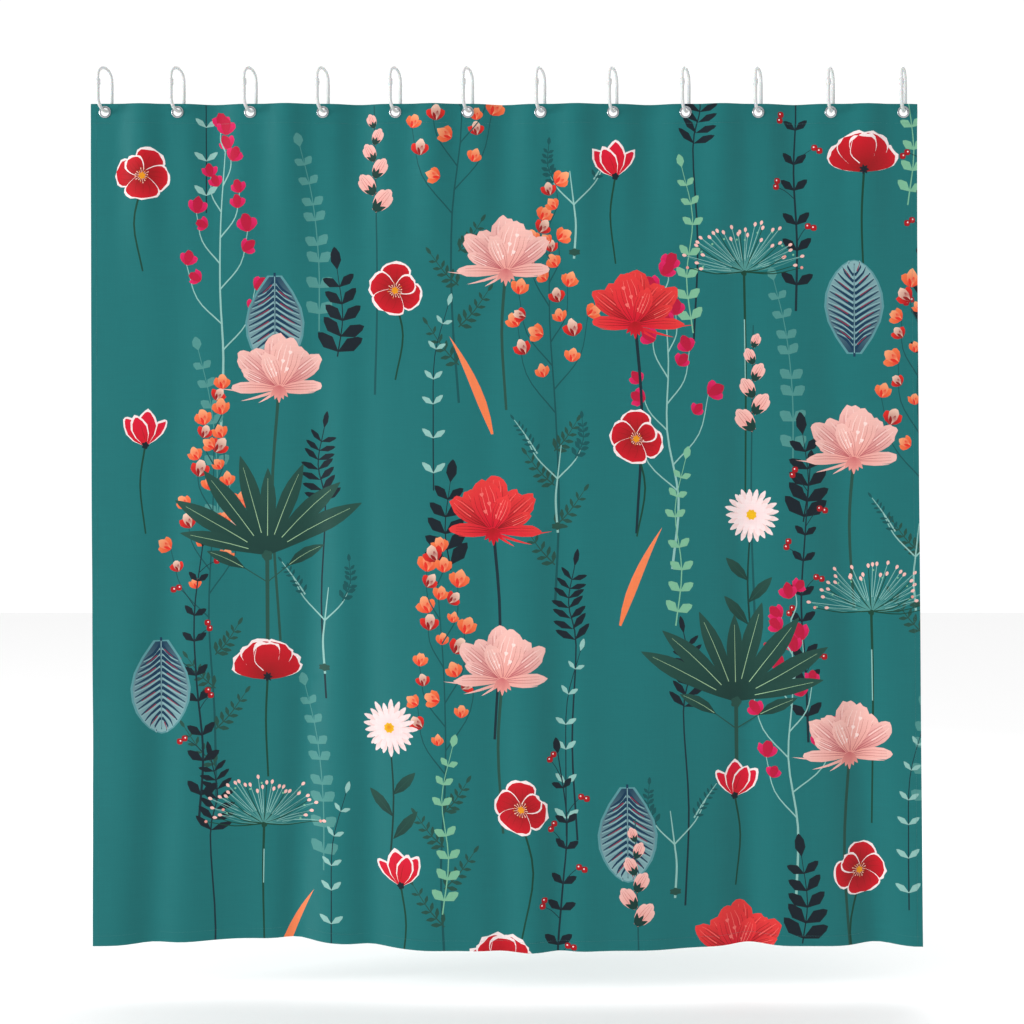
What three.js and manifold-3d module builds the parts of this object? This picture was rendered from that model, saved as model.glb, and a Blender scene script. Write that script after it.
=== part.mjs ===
// Shower curtain: one sheet of polyester cloth with sewn hems, twelve metal eyelets along its
// header and twelve snap hooks that hang it from a round rail.
// Millimetres. +Z up, +X along the rail, +Y away from the side that carries the print.
// The origin is on the rail's axis, half way along the curtain.
import * as THREE from "three";
import { mergeVertices } from "three/addons/utils/BufferGeometryUtils.js";
import Module from "manifold-3d";

const wasm = await Module();
wasm.setup();

// ---- driving dimensions ----
const RAIL_DIAMETER = 38; // the thickest rail that the hooks take
const RAIL_CLEARANCE = 1.2; // between that rail and the inside of a hook
const HUNG_WIDTH = 1793; // the 1829 mm cloth, taken in a little by its folds
const DROP = 1829; // header edge to bottom edge
const HEADER_BELOW_RAIL = 55; // rail axis down to the header edge
const CLOTH = 0.6; // thickness of one layer
const LAYER_GAP = 0.3;

const HOOKS = 12;
const EDGE_TO_FIRST_EYELET = 31;
const EYELET_DROP = 18; // header edge down to an eyelet's centre
const EYELET_BORE = 18; // diameter of the hole that the hook goes through
const EYELET_WALL = 0.8;
const FLANGE_WIDTH = 3.4; // how far the flange stands out from the barrel
const FLANGE_RISE = 1.7;
const WASHER_THICKNESS = 1;
const LIP_WIDTH = 1.8; // the barrel's back end, rolled over the washer
const LIP_THICKNESS = 0.8;
const FIT_GAP = 0.4; // between a barrel and what it goes through

const HEADER_HEM = 45; // how far each edge of the cloth is turned back
const BOTTOM_HEM = 25;
const SIDE_HEM = 15;

const WIRE = 6.8; // diameter of a hook's moulded wire
const HOOK_YAW = THREE.MathUtils.degToRad(22); // hooks stand a little askew on the rail
const HOOK_PLAY = 3.2; // from a hook's wire up to the top of the eyelet's hole
const SOCKET_BELOW_RAIL = 6; // rail axis down to the mouth of the snap socket
const SOCKET_DIAMETER = 11;
const SOCKET_LENGTH = 18;
const TONGUE_REACH = 5; // how far the hook's free end goes into its socket
const SNAP_GAP = 0.5; // all round that free end

const SCALLOP = 12.4; // how far the header swings between two eyelets
const SCALLOP_FADE = 420; // the scallops die away this far down

// The long folds: place at the header and at the bottom edge, both as a share of half the
// width, then how far each swings to the front (-) or the back (+), and its half width.
const FOLDS = [
  { top: -0.76, bottom: -0.86, swing: 14, half: 60 },
  { top: -0.5, bottom: -0.62, swing: 34, half: 200 },
  { top: -0.42, bottom: -0.51, swing: 20, half: 55 },
  { top: -0.35, bottom: -0.33, swing: 12, half: 50 },
  { top: -0.18, bottom: -0.2, swing: -14, half: 90 },
  { top: -0.05, bottom: -0.01, swing: 12, half: 55 },
  { top: 0.02, bottom: 0.06, swing: -34, half: 230 },
  { top: 0.14, bottom: 0.12, swing: 14, half: 50 },
  { top: 0.36, bottom: 0.34, swing: -12, half: 110 },
  { top: 0.57, bottom: 0.58, swing: 14, half: 60 },
  { top: 0.74, bottom: 0.89, swing: 18, half: 70 },
];
const FOLD_GROWTH = 0.75; // folds come in over the upper part of the drop, steeply at first
const FOLD_SHARPNESS = 1.6; // a fold has died away by about its half width

// ---- places that follow ----
const HEADER_Z = -HEADER_BELOW_RAIL;
const EYELET_Z = HEADER_Z - EYELET_DROP;
const PITCH = (HUNG_WIDTH - 2 * EDGE_TO_FIRST_EYELET) / (HOOKS - 1);
const eyeletX = (n) => -HUNG_WIDTH / 2 + EDGE_TO_FIRST_EYELET + n * PITCH;
const HEM_Y = CLOTH + LAYER_GAP; // middle of the turned-back layer, from the middle of the cloth
const FLANGE_Y = -(CLOTH / 2 + LAYER_GAP); // back of the flange
const WASHER_Y = HEM_Y + CLOTH / 2 + LAYER_GAP; // front of the washer
const LIP_Y = WASHER_Y + WASHER_THICKNESS + LAYER_GAP;
const BORE_R = EYELET_BORE / 2;
const BARREL_R = BORE_R + EYELET_WALL;
const FLANGE_R = BARREL_R + FLANGE_WIDTH;
const EYELET_FLAT = EDGE_TO_FIRST_EYELET - SIDE_HEM; // half width of the flat place at each
const AROUND = 14; // sides of an eyelet
const HOLE_SIDES = 12;
const HOLE_R = (BARREL_R + FIT_GAP) / Math.cos(Math.PI / HOLE_SIDES);

// ---- materials ----
const finish = (color, roughness, metalness = 0) =>
  new THREE.MeshStandardMaterial({ color, roughness, metalness });
const printedCloth = finish(0x247071, 0.75);
const nickel = finish(0xc9cccf, 0.25, 1);
const whitePlastic = finish(0xf2f2f0, 0.4);

// ---- helpers ----
function solidOf(geometry) {
  const bare = geometry.clone();
  bare.deleteAttribute("normal");
  bare.deleteAttribute("uv");
  const merged = mergeVertices(bare, 1e-4);
  return new wasm.Manifold(
    new wasm.Mesh({
      numProp: 3,
      vertProperties: merged.attributes.position.array,
      triVerts: new Uint32Array(merged.index.array),
    }),
  );
}

function geometryOf(solid) {
  const mesh = solid.getMesh();
  return new THREE.BufferGeometry()
    .setAttribute("position", new THREE.BufferAttribute(mesh.vertProperties, 3))
    .setIndex(new THREE.BufferAttribute(mesh.triVerts, 1));
}

function meshOf(name, geometry, material) {
  const mesh = new THREE.Mesh(geometry, material);
  mesh.name = name;
  return mesh;
}

const numbered = (name, n) => `${name}_${String(n + 1).padStart(2, "0")}`;
const smooth = (t) => t * t * (3 - 2 * t);

// ---- how the cloth hangs ----
// The header is flat at each eyelet and swings to alternate sides between them.
function scallop(x) {
  const along = (x - eyeletX(0)) / PITCH;
  const bay = Math.floor(along);
  if (bay < 0 || bay >= HOOKS - 1) return 0;
  const clear = PITCH - 2 * EYELET_FLAT;
  const t = ((along - bay) * PITCH - EYELET_FLAT) / clear;
  if (t <= 0 || t >= 1) return 0;
  return (bay % 2 ? 1 : -1) * SCALLOP * Math.sin(Math.PI * t) ** 2;
}

// How far the cloth's middle layer is from the plane of the eyelets. The hems are stiffer
// than the rest, so the cloth runs straight across each of them.
function depth(x, z) {
  const edge = HUNG_WIDTH / 2 - SIDE_HEM;
  const across = THREE.MathUtils.clamp(x, -edge, edge);
  const drop = THREE.MathUtils.clamp(HEADER_Z - z, HEADER_HEM, DROP - BOTTOM_HEM);
  const down = drop / DROP;
  const grown = ((drop - HEADER_HEM) / (DROP - HEADER_HEM)) ** FOLD_GROWTH;
  const fade = 1 - smooth(Math.min(1, (drop - HEADER_HEM) / SCALLOP_FADE));
  let y = fade * scallop(across);
  for (const fold of FOLDS) {
    const share = fold.top + (fold.bottom - fold.top) * down;
    const off = (across - (share * HUNG_WIDTH) / 2) / fold.half;
    y += grown * fold.swing * Math.exp(-off * off * FOLD_SHARPNESS);
  }
  return y;
}

// A box splits the squares of its -Y side along the other diagonal than those of its +Y side.
// This turns them, so that a layer has the same thickness where its squares are warped.
function matchDiagonals(box) {
  const { start, count } = box.groups[3];
  const corners = box.index.array;
  for (let i = start; i < start + count; i += 6) {
    const [a, b, d, , c] = corners.slice(i, i + 6);
    corners.set([a, b, c, a, c, d], i);
  }
}

// A layer of cloth, divided at the columns and rows given, bent to the way the curtain hangs.
function layer(columns, rows, middle) {
  const width = columns.length - 1;
  const height = rows.length - 1;
  const box = new THREE.BoxGeometry(width, CLOTH, height, width, 1, height);
  const at = box.attributes.position;
  for (let i = 0; i < at.count; i++) {
    const x = columns[Math.round(at.getX(i) + width / 2)];
    const z = rows[Math.round(at.getZ(i) + height / 2)];
    at.setXYZ(i, x, at.getY(i) + middle + depth(x, z), z);
  }
  matchDiagonals(box);
  return box;
}

// Where the cloth is divided across its width: the flats at the eyelets, and the bays between.
function columnsBetween(x0, x1) {
  const BAY_STEPS = 4;
  const all = [];
  for (let n = 0; n < HOOKS; n++) {
    all.push(eyeletX(n) - EYELET_FLAT, eyeletX(n) + EYELET_FLAT);
    const bay = PITCH - 2 * EYELET_FLAT;
    for (let k = 1; k < BAY_STEPS && n < HOOKS - 1; k++)
      all.push(eyeletX(n) + EYELET_FLAT + (bay * k) / BAY_STEPS);
  }
  return [x0, ...all.filter((x) => x > x0 + 1 && x < x1 - 1), x1];
}

// Where it is divided down its drop: at the hems, and closer together near the header.
const ROWS = [0, ...[0, 0.04, 0.13, 0.27, 0.47, 0.72, 1].map(betweenHems), DROP];

function betweenHems(share) {
  return HEADER_HEM + share * (DROP - HEADER_HEM - BOTTOM_HEM);
}

const rowsBetween = (from, to) =>
  ROWS.filter((down) => down >= from && down <= to)
    .map((down) => HEADER_Z - down)
    .reverse();

// A layer with the holes that the eyelets' barrels go through.
function punch(geometry) {
  let solid = solidOf(geometry);
  for (let n = 0; n < HOOKS; n++) {
    const hole = new THREE.CylinderGeometry(HOLE_R, HOLE_R, 20, HOLE_SIDES);
    hole.translate(eyeletX(n), 0, EYELET_Z);
    solid = solid.subtract(solidOf(hole));
  }
  return geometryOf(solid);
}

// ---- the pieces ----
function cloth() {
  const half = HUNG_WIDTH / 2;
  const across = columnsBetween(-half, half);
  const inner = half - SIDE_HEM - LAYER_GAP;
  const between = columnsBetween(-inner, inner);
  const full = rowsBetween(0, DROP);
  return [
    meshOf("curtain_panel", punch(layer(across, full, 0)), printedCloth),
    meshOf("header_hem", punch(layer(between, rowsBetween(0, HEADER_HEM), HEM_Y)), printedCloth),
    meshOf("bottom_hem", layer(between, rowsBetween(DROP - BOTTOM_HEM, DROP), HEM_Y), printedCloth),
    meshOf("left_hem", layer([-half, -half + SIDE_HEM], full, HEM_Y), printedCloth),
    meshOf("right_hem", layer([half - SIDE_HEM, half], full, HEM_Y), printedCloth),
  ];
}

const ring = (points) =>
  new THREE.LatheGeometry(
    [...points, points[0]].map(([r, y]) => new THREE.Vector2(r, y)),
    AROUND,
  );

function eyelet(n) {
  const crest = BARREL_R + 0.2 * FLANGE_WIDTH;
  const shoulder = BARREL_R + 0.8 * FLANGE_WIDTH;
  const mesh = meshOf(
    numbered("eyelet", n),
    ring([
      [BORE_R, FLANGE_Y - 0.5 * FLANGE_RISE],
      [BORE_R, LIP_Y + 0.5 * LIP_THICKNESS],
      [BARREL_R + 0.6 * LIP_WIDTH, LIP_Y + LIP_THICKNESS],
      [BARREL_R + LIP_WIDTH, LIP_Y],
      [BARREL_R, LIP_Y],
      [BARREL_R, FLANGE_Y],
      [FLANGE_R, FLANGE_Y],
      [shoulder, FLANGE_Y - 0.8 * FLANGE_RISE],
      [crest, FLANGE_Y - FLANGE_RISE],
    ].reverse()),
    nickel,
  );
  mesh.position.set(eyeletX(n), 0, EYELET_Z);
  return mesh;
}

function washer(n) {
  const hole = (BARREL_R + FIT_GAP) / Math.cos(Math.PI / AROUND);
  const rim = FLANGE_R - 0.4;
  const mesh = meshOf(
    numbered("washer", n),
    ring([
      [hole, WASHER_Y],
      [rim, WASHER_Y],
      [rim - 0.3, WASHER_Y + WASHER_THICKNESS],
      [hole, WASHER_Y + WASHER_THICKNESS],
    ]),
    nickel,
  );
  mesh.position.set(eyeletX(n), 0, EYELET_Z);
  return mesh;
}

// The line of a hook's wire: its free end, the crown over the rail, the back leg, the bend
// that goes through the eyelet, and the front leg up into the socket.
const WIRE_R = WIRE / 2;
const CROWN_R = RAIL_DIAMETER / 2 + RAIL_CLEARANCE + WIRE_R;
const LEG_Y = CROWN_R / Math.cos(HOOK_YAW);
const CROWN_Z = -RAIL_CLEARANCE;
const BEND_Z = EYELET_Z + BORE_R - HOOK_PLAY - WIRE_R; // lowest point of the wire's line
const SOCKET_Z = -SOCKET_BELOW_RAIL;
const POCKET_R = WIRE_R + SNAP_GAP;

// A line that an extrusion follows one point at a time, so that a straight takes one step.
class Route extends THREE.Curve {
  constructor(points) {
    super();
    this.points = points;
  }

  getUtoTmapping(u) {
    return u;
  }

  getPoint(t) {
    const at = t * (this.points.length - 1);
    const i = Math.min(Math.floor(at), this.points.length - 2);
    return this.points[i].clone().lerp(this.points[i + 1], at - i);
  }
}

function hookLine() {
  const outline = new THREE.Path();
  outline.moveTo(-LEG_Y, SOCKET_Z - TONGUE_REACH);
  outline.lineTo(-LEG_Y, CROWN_Z);
  outline.absellipse(0, CROWN_Z, LEG_Y, CROWN_R, Math.PI, 0, true, 0);
  outline.lineTo(LEG_Y, BEND_Z + LEG_Y);
  outline.absarc(0, BEND_Z + LEG_Y, LEG_Y, 0, -Math.PI, true);
  outline.lineTo(-LEG_Y, SOCKET_Z - SOCKET_LENGTH + WIRE_R);
  return outline.getPoints(4).map((p) => new THREE.Vector3(0, p.x, p.y));
}

const WIRE_SIDES = 8;

function turned(points) {
  const profile = points.map(([r, z]) => new THREE.Vector2(r, z));
  const body = new THREE.LatheGeometry(profile, WIRE_SIDES);
  body.rotateX(Math.PI / 2);
  body.translate(0, -LEG_Y, SOCKET_Z);
  return solidOf(body);
}

function hookSolid() {
  const section = new THREE.Shape(
    Array.from({ length: WIRE_SIDES }, (_, k) => {
      const a = ((k + 0.5) * 2 * Math.PI) / WIRE_SIDES;
      return new THREE.Vector2(WIRE_R * Math.cos(a), WIRE_R * Math.sin(a));
    }),
  );
  const line = hookLine();
  const wire = new THREE.ExtrudeGeometry(section, {
    steps: line.length - 1,
    bevelEnabled: false,
    extrudePath: new Route(line),
  });
  const r = SOCKET_DIAMETER / 2;
  const depth = TONGUE_REACH + SNAP_GAP;
  const socket = turned([
    [0, -SOCKET_LENGTH],
    [0.8 * WIRE_R, -SOCKET_LENGTH],
    [r, -0.6 * SOCKET_LENGTH],
    [r, -0.06 * SOCKET_LENGTH],
    [0.9 * r, 0],
    [POCKET_R, 0],
    [POCKET_R, -depth],
    [0, -depth],
  ]);
  return geometryOf(solidOf(wire).add(socket));
}

const hookGeometry = hookSolid();

function hook(n) {
  const mesh = meshOf(numbered("hook", n), hookGeometry, whitePlastic);
  mesh.position.set(eyeletX(n), 0, 0);
  mesh.rotation.z = -HOOK_YAW;
  return mesh;
}

const curtain = new THREE.Group();
curtain.add(...cloth());
for (let n = 0; n < HOOKS; n++) curtain.add(eyelet(n), washer(n), hook(n));

export default curtain;
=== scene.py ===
import math
import random

import bmesh
import bpy
import numpy as np
from mathutils import Matrix, Vector
from mathutils.geometry import delaunay_2d_cdt


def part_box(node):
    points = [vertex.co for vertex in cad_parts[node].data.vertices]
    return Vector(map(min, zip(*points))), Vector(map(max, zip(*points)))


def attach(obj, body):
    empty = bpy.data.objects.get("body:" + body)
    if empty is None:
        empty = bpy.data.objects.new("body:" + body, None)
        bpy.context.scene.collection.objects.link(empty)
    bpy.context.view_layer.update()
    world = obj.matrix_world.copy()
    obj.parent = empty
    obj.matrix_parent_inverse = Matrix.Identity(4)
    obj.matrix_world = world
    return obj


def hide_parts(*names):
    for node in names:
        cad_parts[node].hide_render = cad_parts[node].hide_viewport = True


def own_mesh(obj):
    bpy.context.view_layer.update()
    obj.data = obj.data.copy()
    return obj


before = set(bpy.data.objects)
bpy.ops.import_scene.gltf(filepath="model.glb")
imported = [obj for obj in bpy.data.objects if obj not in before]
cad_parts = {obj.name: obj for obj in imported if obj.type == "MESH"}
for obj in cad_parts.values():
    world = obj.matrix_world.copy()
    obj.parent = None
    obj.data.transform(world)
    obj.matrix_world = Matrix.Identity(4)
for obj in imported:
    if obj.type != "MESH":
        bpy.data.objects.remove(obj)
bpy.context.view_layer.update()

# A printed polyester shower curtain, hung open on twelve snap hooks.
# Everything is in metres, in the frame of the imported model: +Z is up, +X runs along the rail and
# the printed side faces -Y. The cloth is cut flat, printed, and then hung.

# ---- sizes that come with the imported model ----
PANEL_LOW, PANEL_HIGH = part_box("curtain_panel")
HUNG_WIDTH = PANEL_HIGH[0] - PANEL_LOW[0]
HEADER_Z = PANEL_HIGH[2]
NUMBERS = [f"{n + 1:02d}" for n in range(12)]


def middle_of(node):
    low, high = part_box(node)
    return Vector([(a + b) / 2 for a, b in zip(low, high)])


EYELETS = [middle_of(f"eyelet_{i}") for i in NUMBERS]
EYELET_X = [e.x for e in EYELETS]
EYELET_Z = EYELETS[0].z
PITCH = EYELET_X[1] - EYELET_X[0]

# ---- sizes of the cloth ----
CUT_WIDTH = 1.829
CUT_DROP = 1.829
CLOTH = 0.0005  # thickness of one layer
HEADER_HEM = 0.045
BOTTOM_HEM = 0.025
SIDE_HEM = 0.015
HEM_STEP = 0.0009  # from the middle of the cloth to the middle of the layer turned back

# ---- sizes of the metal and the plastic ----
BORE_R = 0.009
BARREL_R = 0.0098
FLANGE_R = 0.0132
WIRE_R = 0.0034
RAIL_R = 0.019
RAIL_CLEARANCE = 0.0012
HOOK_YAW = math.radians(22)


def body_of_piece(n):
    """The body that the nth eyelet and washer belong to."""
    return "curtain" if n == 0 else f"eyelet_{NUMBERS[n]}"


def object_from(mesh, name):
    piece = bpy.data.objects.new(name, mesh)
    bpy.context.scene.collection.objects.link(piece)
    return piece


def piece_from(bm, name, material):
    """A new object from a bmesh, with its faces shaded smooth."""
    mesh = bpy.data.meshes.new(name)
    bm.to_mesh(mesh)
    bm.free()
    mesh.polygons.foreach_set("use_smooth", [True] * len(mesh.polygons))
    mesh.materials.append(material)
    return object_from(mesh, name)


# ---- the print: outlines on the flat cloth, each laid over the ones before it ----
# A point on the flat cloth is a complex number in metres: the real part runs to the right from
# the middle, the imaginary part up from the header edge, so all of the cloth is below zero.
# Plants are drawn in millimetres, upright, round an origin of their own.

CHANCE = random.Random(41)
EDGE_WAVER = 0.006  # share of its breadth that an edge wanders for each millimetre of frill
LOBE_POINTS = 4  # corners to each lobe of a blot


def colour(code):
    """A colour written as six hex digits, as the linear values that a material reads."""
    shares = [int(code[i : i + 2], 16) / 255 for i in (0, 2, 4)]
    return tuple(s / 12.92 if s < 0.04045 else ((s + 0.055) / 1.055) ** 2.4 for s in shares)


def polar(length, degrees):
    return length * complex(math.cos(math.radians(degrees)), math.sin(math.radians(degrees)))


def smooth_line(points, steps=4):
    """A smooth line through a few points."""
    ends = [2 * points[0] - points[1], *points, 2 * points[-1] - points[-2]]
    line = [points[0]]
    for a, b, c, d in zip(ends, ends[1:], ends[2:], ends[3:]):
        for k in range(1, steps + 1):
            t = k / steps
            bow = (2 * a - 5 * b + 4 * c - d) * t * t
            twist = (3 * b - a - 3 * c + d) * t**3
            line.append(0.5 * (2 * b + (c - a) * t + bow + twist))
    return line


class Strip:
    """A petal or leaf: s runs from its foot, 0, to its tip, 1, and v across it from -1 to 1."""

    def __init__(self, foot, turn, length, width, belly=0.5, blunt=0.0, foot_share=0.0, bend=0.0):
        self.foot, self.along, self.length, self.half = foot, polar(1, turn), length, width / 2
        self.belly, self.blunt, self.foot_share, self.bend = belly, blunt, foot_share, bend

    def breadth(self, s):
        if s < self.belly:
            rise = math.sin(0.5 * math.pi * s / self.belly)
            return self.foot_share + (1 - self.foot_share) * rise
        u = (s - self.belly) / (1 - self.belly)
        pointed = math.cos(0.5 * math.pi * u)
        rounded = math.sqrt(max(0.0, 1 - u * u))
        return pointed + (rounded - pointed) * self.blunt

    def at(self, s, v=0.0, out=0.0):
        side = self.bend * self.length * s * s + v * self.half * self.breadth(s)
        return self.foot + self.along * complex(s * self.length + out, side)

    def outline(self, steps=5, frill=0.0):
        """frill is how far, in millimetres, the edge wanders near the tip."""
        shares = [math.sin(0.5 * math.pi * k / steps) for k in range(steps + 1)]
        up = [(s, 1) for s in shares[:-1]] + [(1, 0)] + [(s, -1) for s in reversed(shares[:-1])]
        if not self.foot_share:
            up.pop()
        edge = []
        for s, v in up:
            waver = 1 + EDGE_WAVER * CHANCE.uniform(-1, 1) * frill
            edge.append(self.at(s, v * waver, CHANCE.uniform(-1, 1) * frill * s**3))
        return edge

    def vein(self, v, start, end, steps=3):
        return [self.at(start + (end - start) * k / steps, v) for k in range(steps + 1)]


class Pen:
    """Lays shapes on the cloth for a plant that stands at a place, at a size, turn and side."""

    def __init__(self, shapes, x, y, size=1.0, turn=0.0, flip=False):
        self.shapes, self.origin, self.flip = shapes, complex(x, y), flip
        self.scale = polar(size / 1000, turn)

    def fill(self, outline, near, far=None, foot=0j, reach=None):
        """Fills an outline with one colour, or with one that turns into another away from foot."""
        if self.flip:
            outline = [-p.conjugate() for p in outline]
            foot = -foot.conjugate()
        placed = np.array([self.origin + self.scale * p for p in outline])
        nxt = np.roll(placed, -1)
        if (placed.real * nxt.imag - nxt.real * placed.imag).sum() < 0:
            placed = placed[::-1]
        foot = self.origin + self.scale * foot
        if reach is None:
            reach = np.abs(placed - foot).max()
        else:
            reach *= abs(self.scale)
        self.shapes.append((placed, near, far or near, foot, reach))

    def line(self, points, width, tint, end_width=None, steps=4, smooth=True):
        """A stroke that tapers from one width to another."""
        path = smooth_line(points, steps) if smooth and len(points) > 2 else list(points)
        end_width = width if end_width is None else end_width
        left, right = [], []
        for k, p in enumerate(path):
            way = path[min(k + 1, len(path) - 1)] - path[max(k - 1, 0)]
            half = 0.5 * (width + (end_width - width) * k / (len(path) - 1))
            across = 1j * way / abs(way) * half
            left.append(p + across)
            right.append(p - across)
        self.fill(left + right[::-1], tint)

    def strip(self, strip, near, far=None, frill=0.0, steps=5):
        self.fill(strip.outline(steps, frill), near, far, strip.foot, strip.length)

    def veins(self, strip, tint, across, start=0.15, end=0.85, width=1.2):
        for v in across:
            self.line(strip.vein(v, start, end), width, tint, width * 0.4, smooth=False)

    def dot(self, centre, radius, tint, sides=7):
        self.fill([centre + polar(radius, 360 * k / sides) for k in range(sides)], tint)

    def blot(self, centre, radius, lobes, depth, tint, far=None, turn=0.0, squash=1.0):
        """A rounded shape with this many lobes. depth is how far in it goes between them."""
        points = []
        for k in range(lobes * LOBE_POINTS):
            a = 360 * k / (lobes * LOBE_POINTS)
            r = radius * (1 - depth * (0.5 + 0.5 * math.cos(math.radians(lobes * a))))
            p = polar(r, a)
            points.append(centre + complex(p.real, p.imag * squash) * polar(1, turn))
        self.fill(points, tint, far, centre)


INK = colour("17282f")
DARK_STEM = colour("10323a")
LEAF_GREEN = colour("213f3a")
LEAF_EDGE = colour("2c5148")
RIB = colour("9fc49a")
BOTTLE = colour("0d4638")
MINT = colour("7db896")
PALE = colour("8ebdb5")
DUSTY = colour("508f8a")
DUSK = colour("1d5557")
RED = colour("c9102c")
DEEP_RED = colour("8e0d22")
WHITE = colour("f4e3e2")
YELLOW = colour("eec022")
AMBER = colour("dc7420")
ORANGE = colour("f07c4c")
PEACH = colour("f7a877")
VERMILION = colour("e2352b")
CREAM = colour("f3cdb8")
CRIMSON = colour("b8133f")
ROSE = colour("dd2c66")
BLUSH = colour("f5cfd0")
CORAL_TONES = [colour(c) for c in ("c8686a", "e59a90", "f3bfb6", "b5565c", "fbdcd6")]
SCARLET_TONES = [colour(c) for c in ("a50c24", "cf1731", "e6403f", "780a20", "f0706a")]
LEAF_GREY = colour("86adb0")
LEAF_RIM = colour("5b9499")
LEAF_NAVY = colour("1d3d55")
LEAF_WINE = colour("8f3347")


def cosmos(pen, tones):
    """A full flower from the side, on top of a stem that ends at the origin."""
    deep, mid, light, streak, shine = tones
    back = [(121, 96, 46, 0.06), (58, 96, 44, -0.05), (86, 110, 54, 0.03)]
    sides = [(150, 108, 40, -0.1), (33, 110, 42, 0.1), (16, 84, 26, 0.12)]
    front = [(102, 104, 66, 0.02), (70, 76, 38, -0.04)]
    low = [(173, 92, 26, 0.06), (4, 100, 25, -0.06)]
    for turn, length, width, bend in back + sides:
        petal = Strip(0j, turn, length, width, 0.72, 0.85, 0.1, bend)
        pen.strip(petal, deep, light, frill=4, steps=8)
        pen.veins(petal, streak, (-0.62, -0.3, 0.05, 0.36, 0.66), 0.12, 0.82, 1.3)
        pen.veins(petal, shine, (-0.45, 0.2), 0.5, 0.92, 1.5)
    for turn, length, width, bend in low:
        petal = Strip(-4j, turn, length, width, 0.7, 0.8, 0.2, bend)
        pen.strip(petal, mid, light, frill=4)
        pen.veins(petal, streak, (-0.5, 0.0, 0.5), 0.1, 0.85, 1.1)
    for turn, length, width, bend in front:
        petal = Strip(0j, turn, length, width, 0.62, 0.75, 0.2, bend)
        pen.strip(petal, mid, light, frill=3.5, steps=9)
        pen.veins(petal, streak, (-0.74, -0.42, 0.46, 0.78), 0.05, 0.72, 1.0)
        pen.veins(petal, shine, (-0.5, -0.12, 0.22), 0.3, 0.86, 1.8)
        for s, v in ((0.52, -0.1), (0.72, 0.25), (0.38, 0.3)):
            pen.blot(petal.at(s, v), 0.07 * width, 3, 0.3, shine, turn=turn)
    for turn, length, bend in ((-6, 122, 0.12), (-22, 84, 0.1), (196, 74, -0.2), (-38, 52, 0.1)):
        stray = Strip(-6j, turn, length, 6, 0.3, 0.2, 0.4, bend)
        pen.strip(stray, mid, light)
    for turn in (232, 252, 270, 288, 308):
        pen.strip(Strip(2j, turn, 30 + 6 * (turn == 270), 12, 0.35, 0.2, 0.3), deep, mid)


def poppy(pen):
    """An open four-petalled flower with a pale rim and a yellow heart, round the origin."""
    for turn, length, width in ((78, 60, 62), (6, 56, 56), (186, 58, 58), (283, 50, 74), (140, 46, 40)):
        rim = Strip(0j, turn, length + 3, width + 5, 0.68, 0.95, 0.25)
        pen.strip(rim, WHITE, frill=3, steps=8)
        petal = Strip(0j, turn, length - 1, width - 2, 0.68, 0.95, 0.25)
        pen.strip(petal, DEEP_RED, RED, frill=2, steps=8)
        pen.veins(petal, DEEP_RED, (-0.4, 0.1, 0.5), 0.3, 0.8, 1.0)
    pen.blot(0j, 17, 9, 0.28, DEEP_RED)
    for k in range(16):
        reach = CHANCE.uniform(11, 17)
        pen.line([polar(5, 22.5 * k), polar(reach, 22.5 * k)], 0.9, CREAM)
        pen.dot(polar(reach, 22.5 * k), 1.4, CREAM if k % 3 else AMBER, 5)
    pen.blot(0j, 9, 6, 0.35, YELLOW, AMBER)


def tulip(pen):
    """A half-open bud edged in white, on top of a stem that ends at the origin."""
    petals = [(128, 62, 22, 0.1), (52, 66, 30, 0.06), (97, 68, 38, 0.0), (74, 60, 30, -0.03)]
    for turn, length, width, bend in petals:
        pen.strip(Strip(0j, turn, length + 3, width + 5, 0.55, 0.45, 0.2, bend), WHITE, frill=2)
        petal = Strip(0j, turn, length - 2, width - 1, 0.55, 0.45, 0.25, bend)
        pen.strip(petal, RED, colour("d9203a"), frill=1.5)
        pen.veins(petal, DEEP_RED, (0.3,), 0.2, 0.7, 1.0)
    pen.blot(-1j, 8, 5, 0.3, INK)


def side_poppy(pen):
    """A broad ruffled bowl with a pale rim, on top of a stem that ends at the origin."""
    for turn, length, width in ((152, 82, 50), (28, 88, 54), (112, 84, 70), (66, 86, 74), (88, 78, 60)):
        pen.strip(Strip(0j, turn, length + 3, width + 3, 0.76, 0.98, 0.3), WHITE, frill=5, steps=9)
        petal = Strip(0j, turn, length - 3, width, 0.76, 0.98, 0.35)
        pen.strip(petal, DEEP_RED, RED, frill=3, steps=9)
    pen.line([complex(10, 12), complex(30, 34), complex(26, 66)], 2, WHITE, 1)
    pen.blot(-2j, 12, 7, 0.45, INK)


def daisy(pen, stem):
    """A shaggy pale flower over a stem with leaves to alternate sides; its foot is the origin."""
    head = complex(0, stem)
    pen.line([0j, complex(9, stem * 0.5), head], 4.5, LEAF_GREEN, 3)
    for share, turn in ((0.2, 50), (0.36, 132), (0.52, 46)):
        leaf = Strip(complex(8, stem * share), turn, 92 - 40 * share, 24, 0.5, 0.15, 0.05)
        pen.strip(leaf, LEAF_GREEN, LEAF_EDGE)
        pen.veins(leaf, LEAF_EDGE, (0.0,), 0.1, 0.9, 1.4)
    for share, count, near in ((1.0, 21, CORAL_TONES[1]), (0.8, 17, BLUSH), (0.56, 13, BLUSH)):
        for k in range(count):
            length = 60 * share * CHANCE.uniform(0.9, 1.08)
            pen.strip(Strip(head, 360 * (k + share) / count, length, 11, 0.8, 0.3, 0.4), near, WHITE)
    pen.blot(head, 12, 8, 0.2, AMBER, YELLOW)


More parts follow.
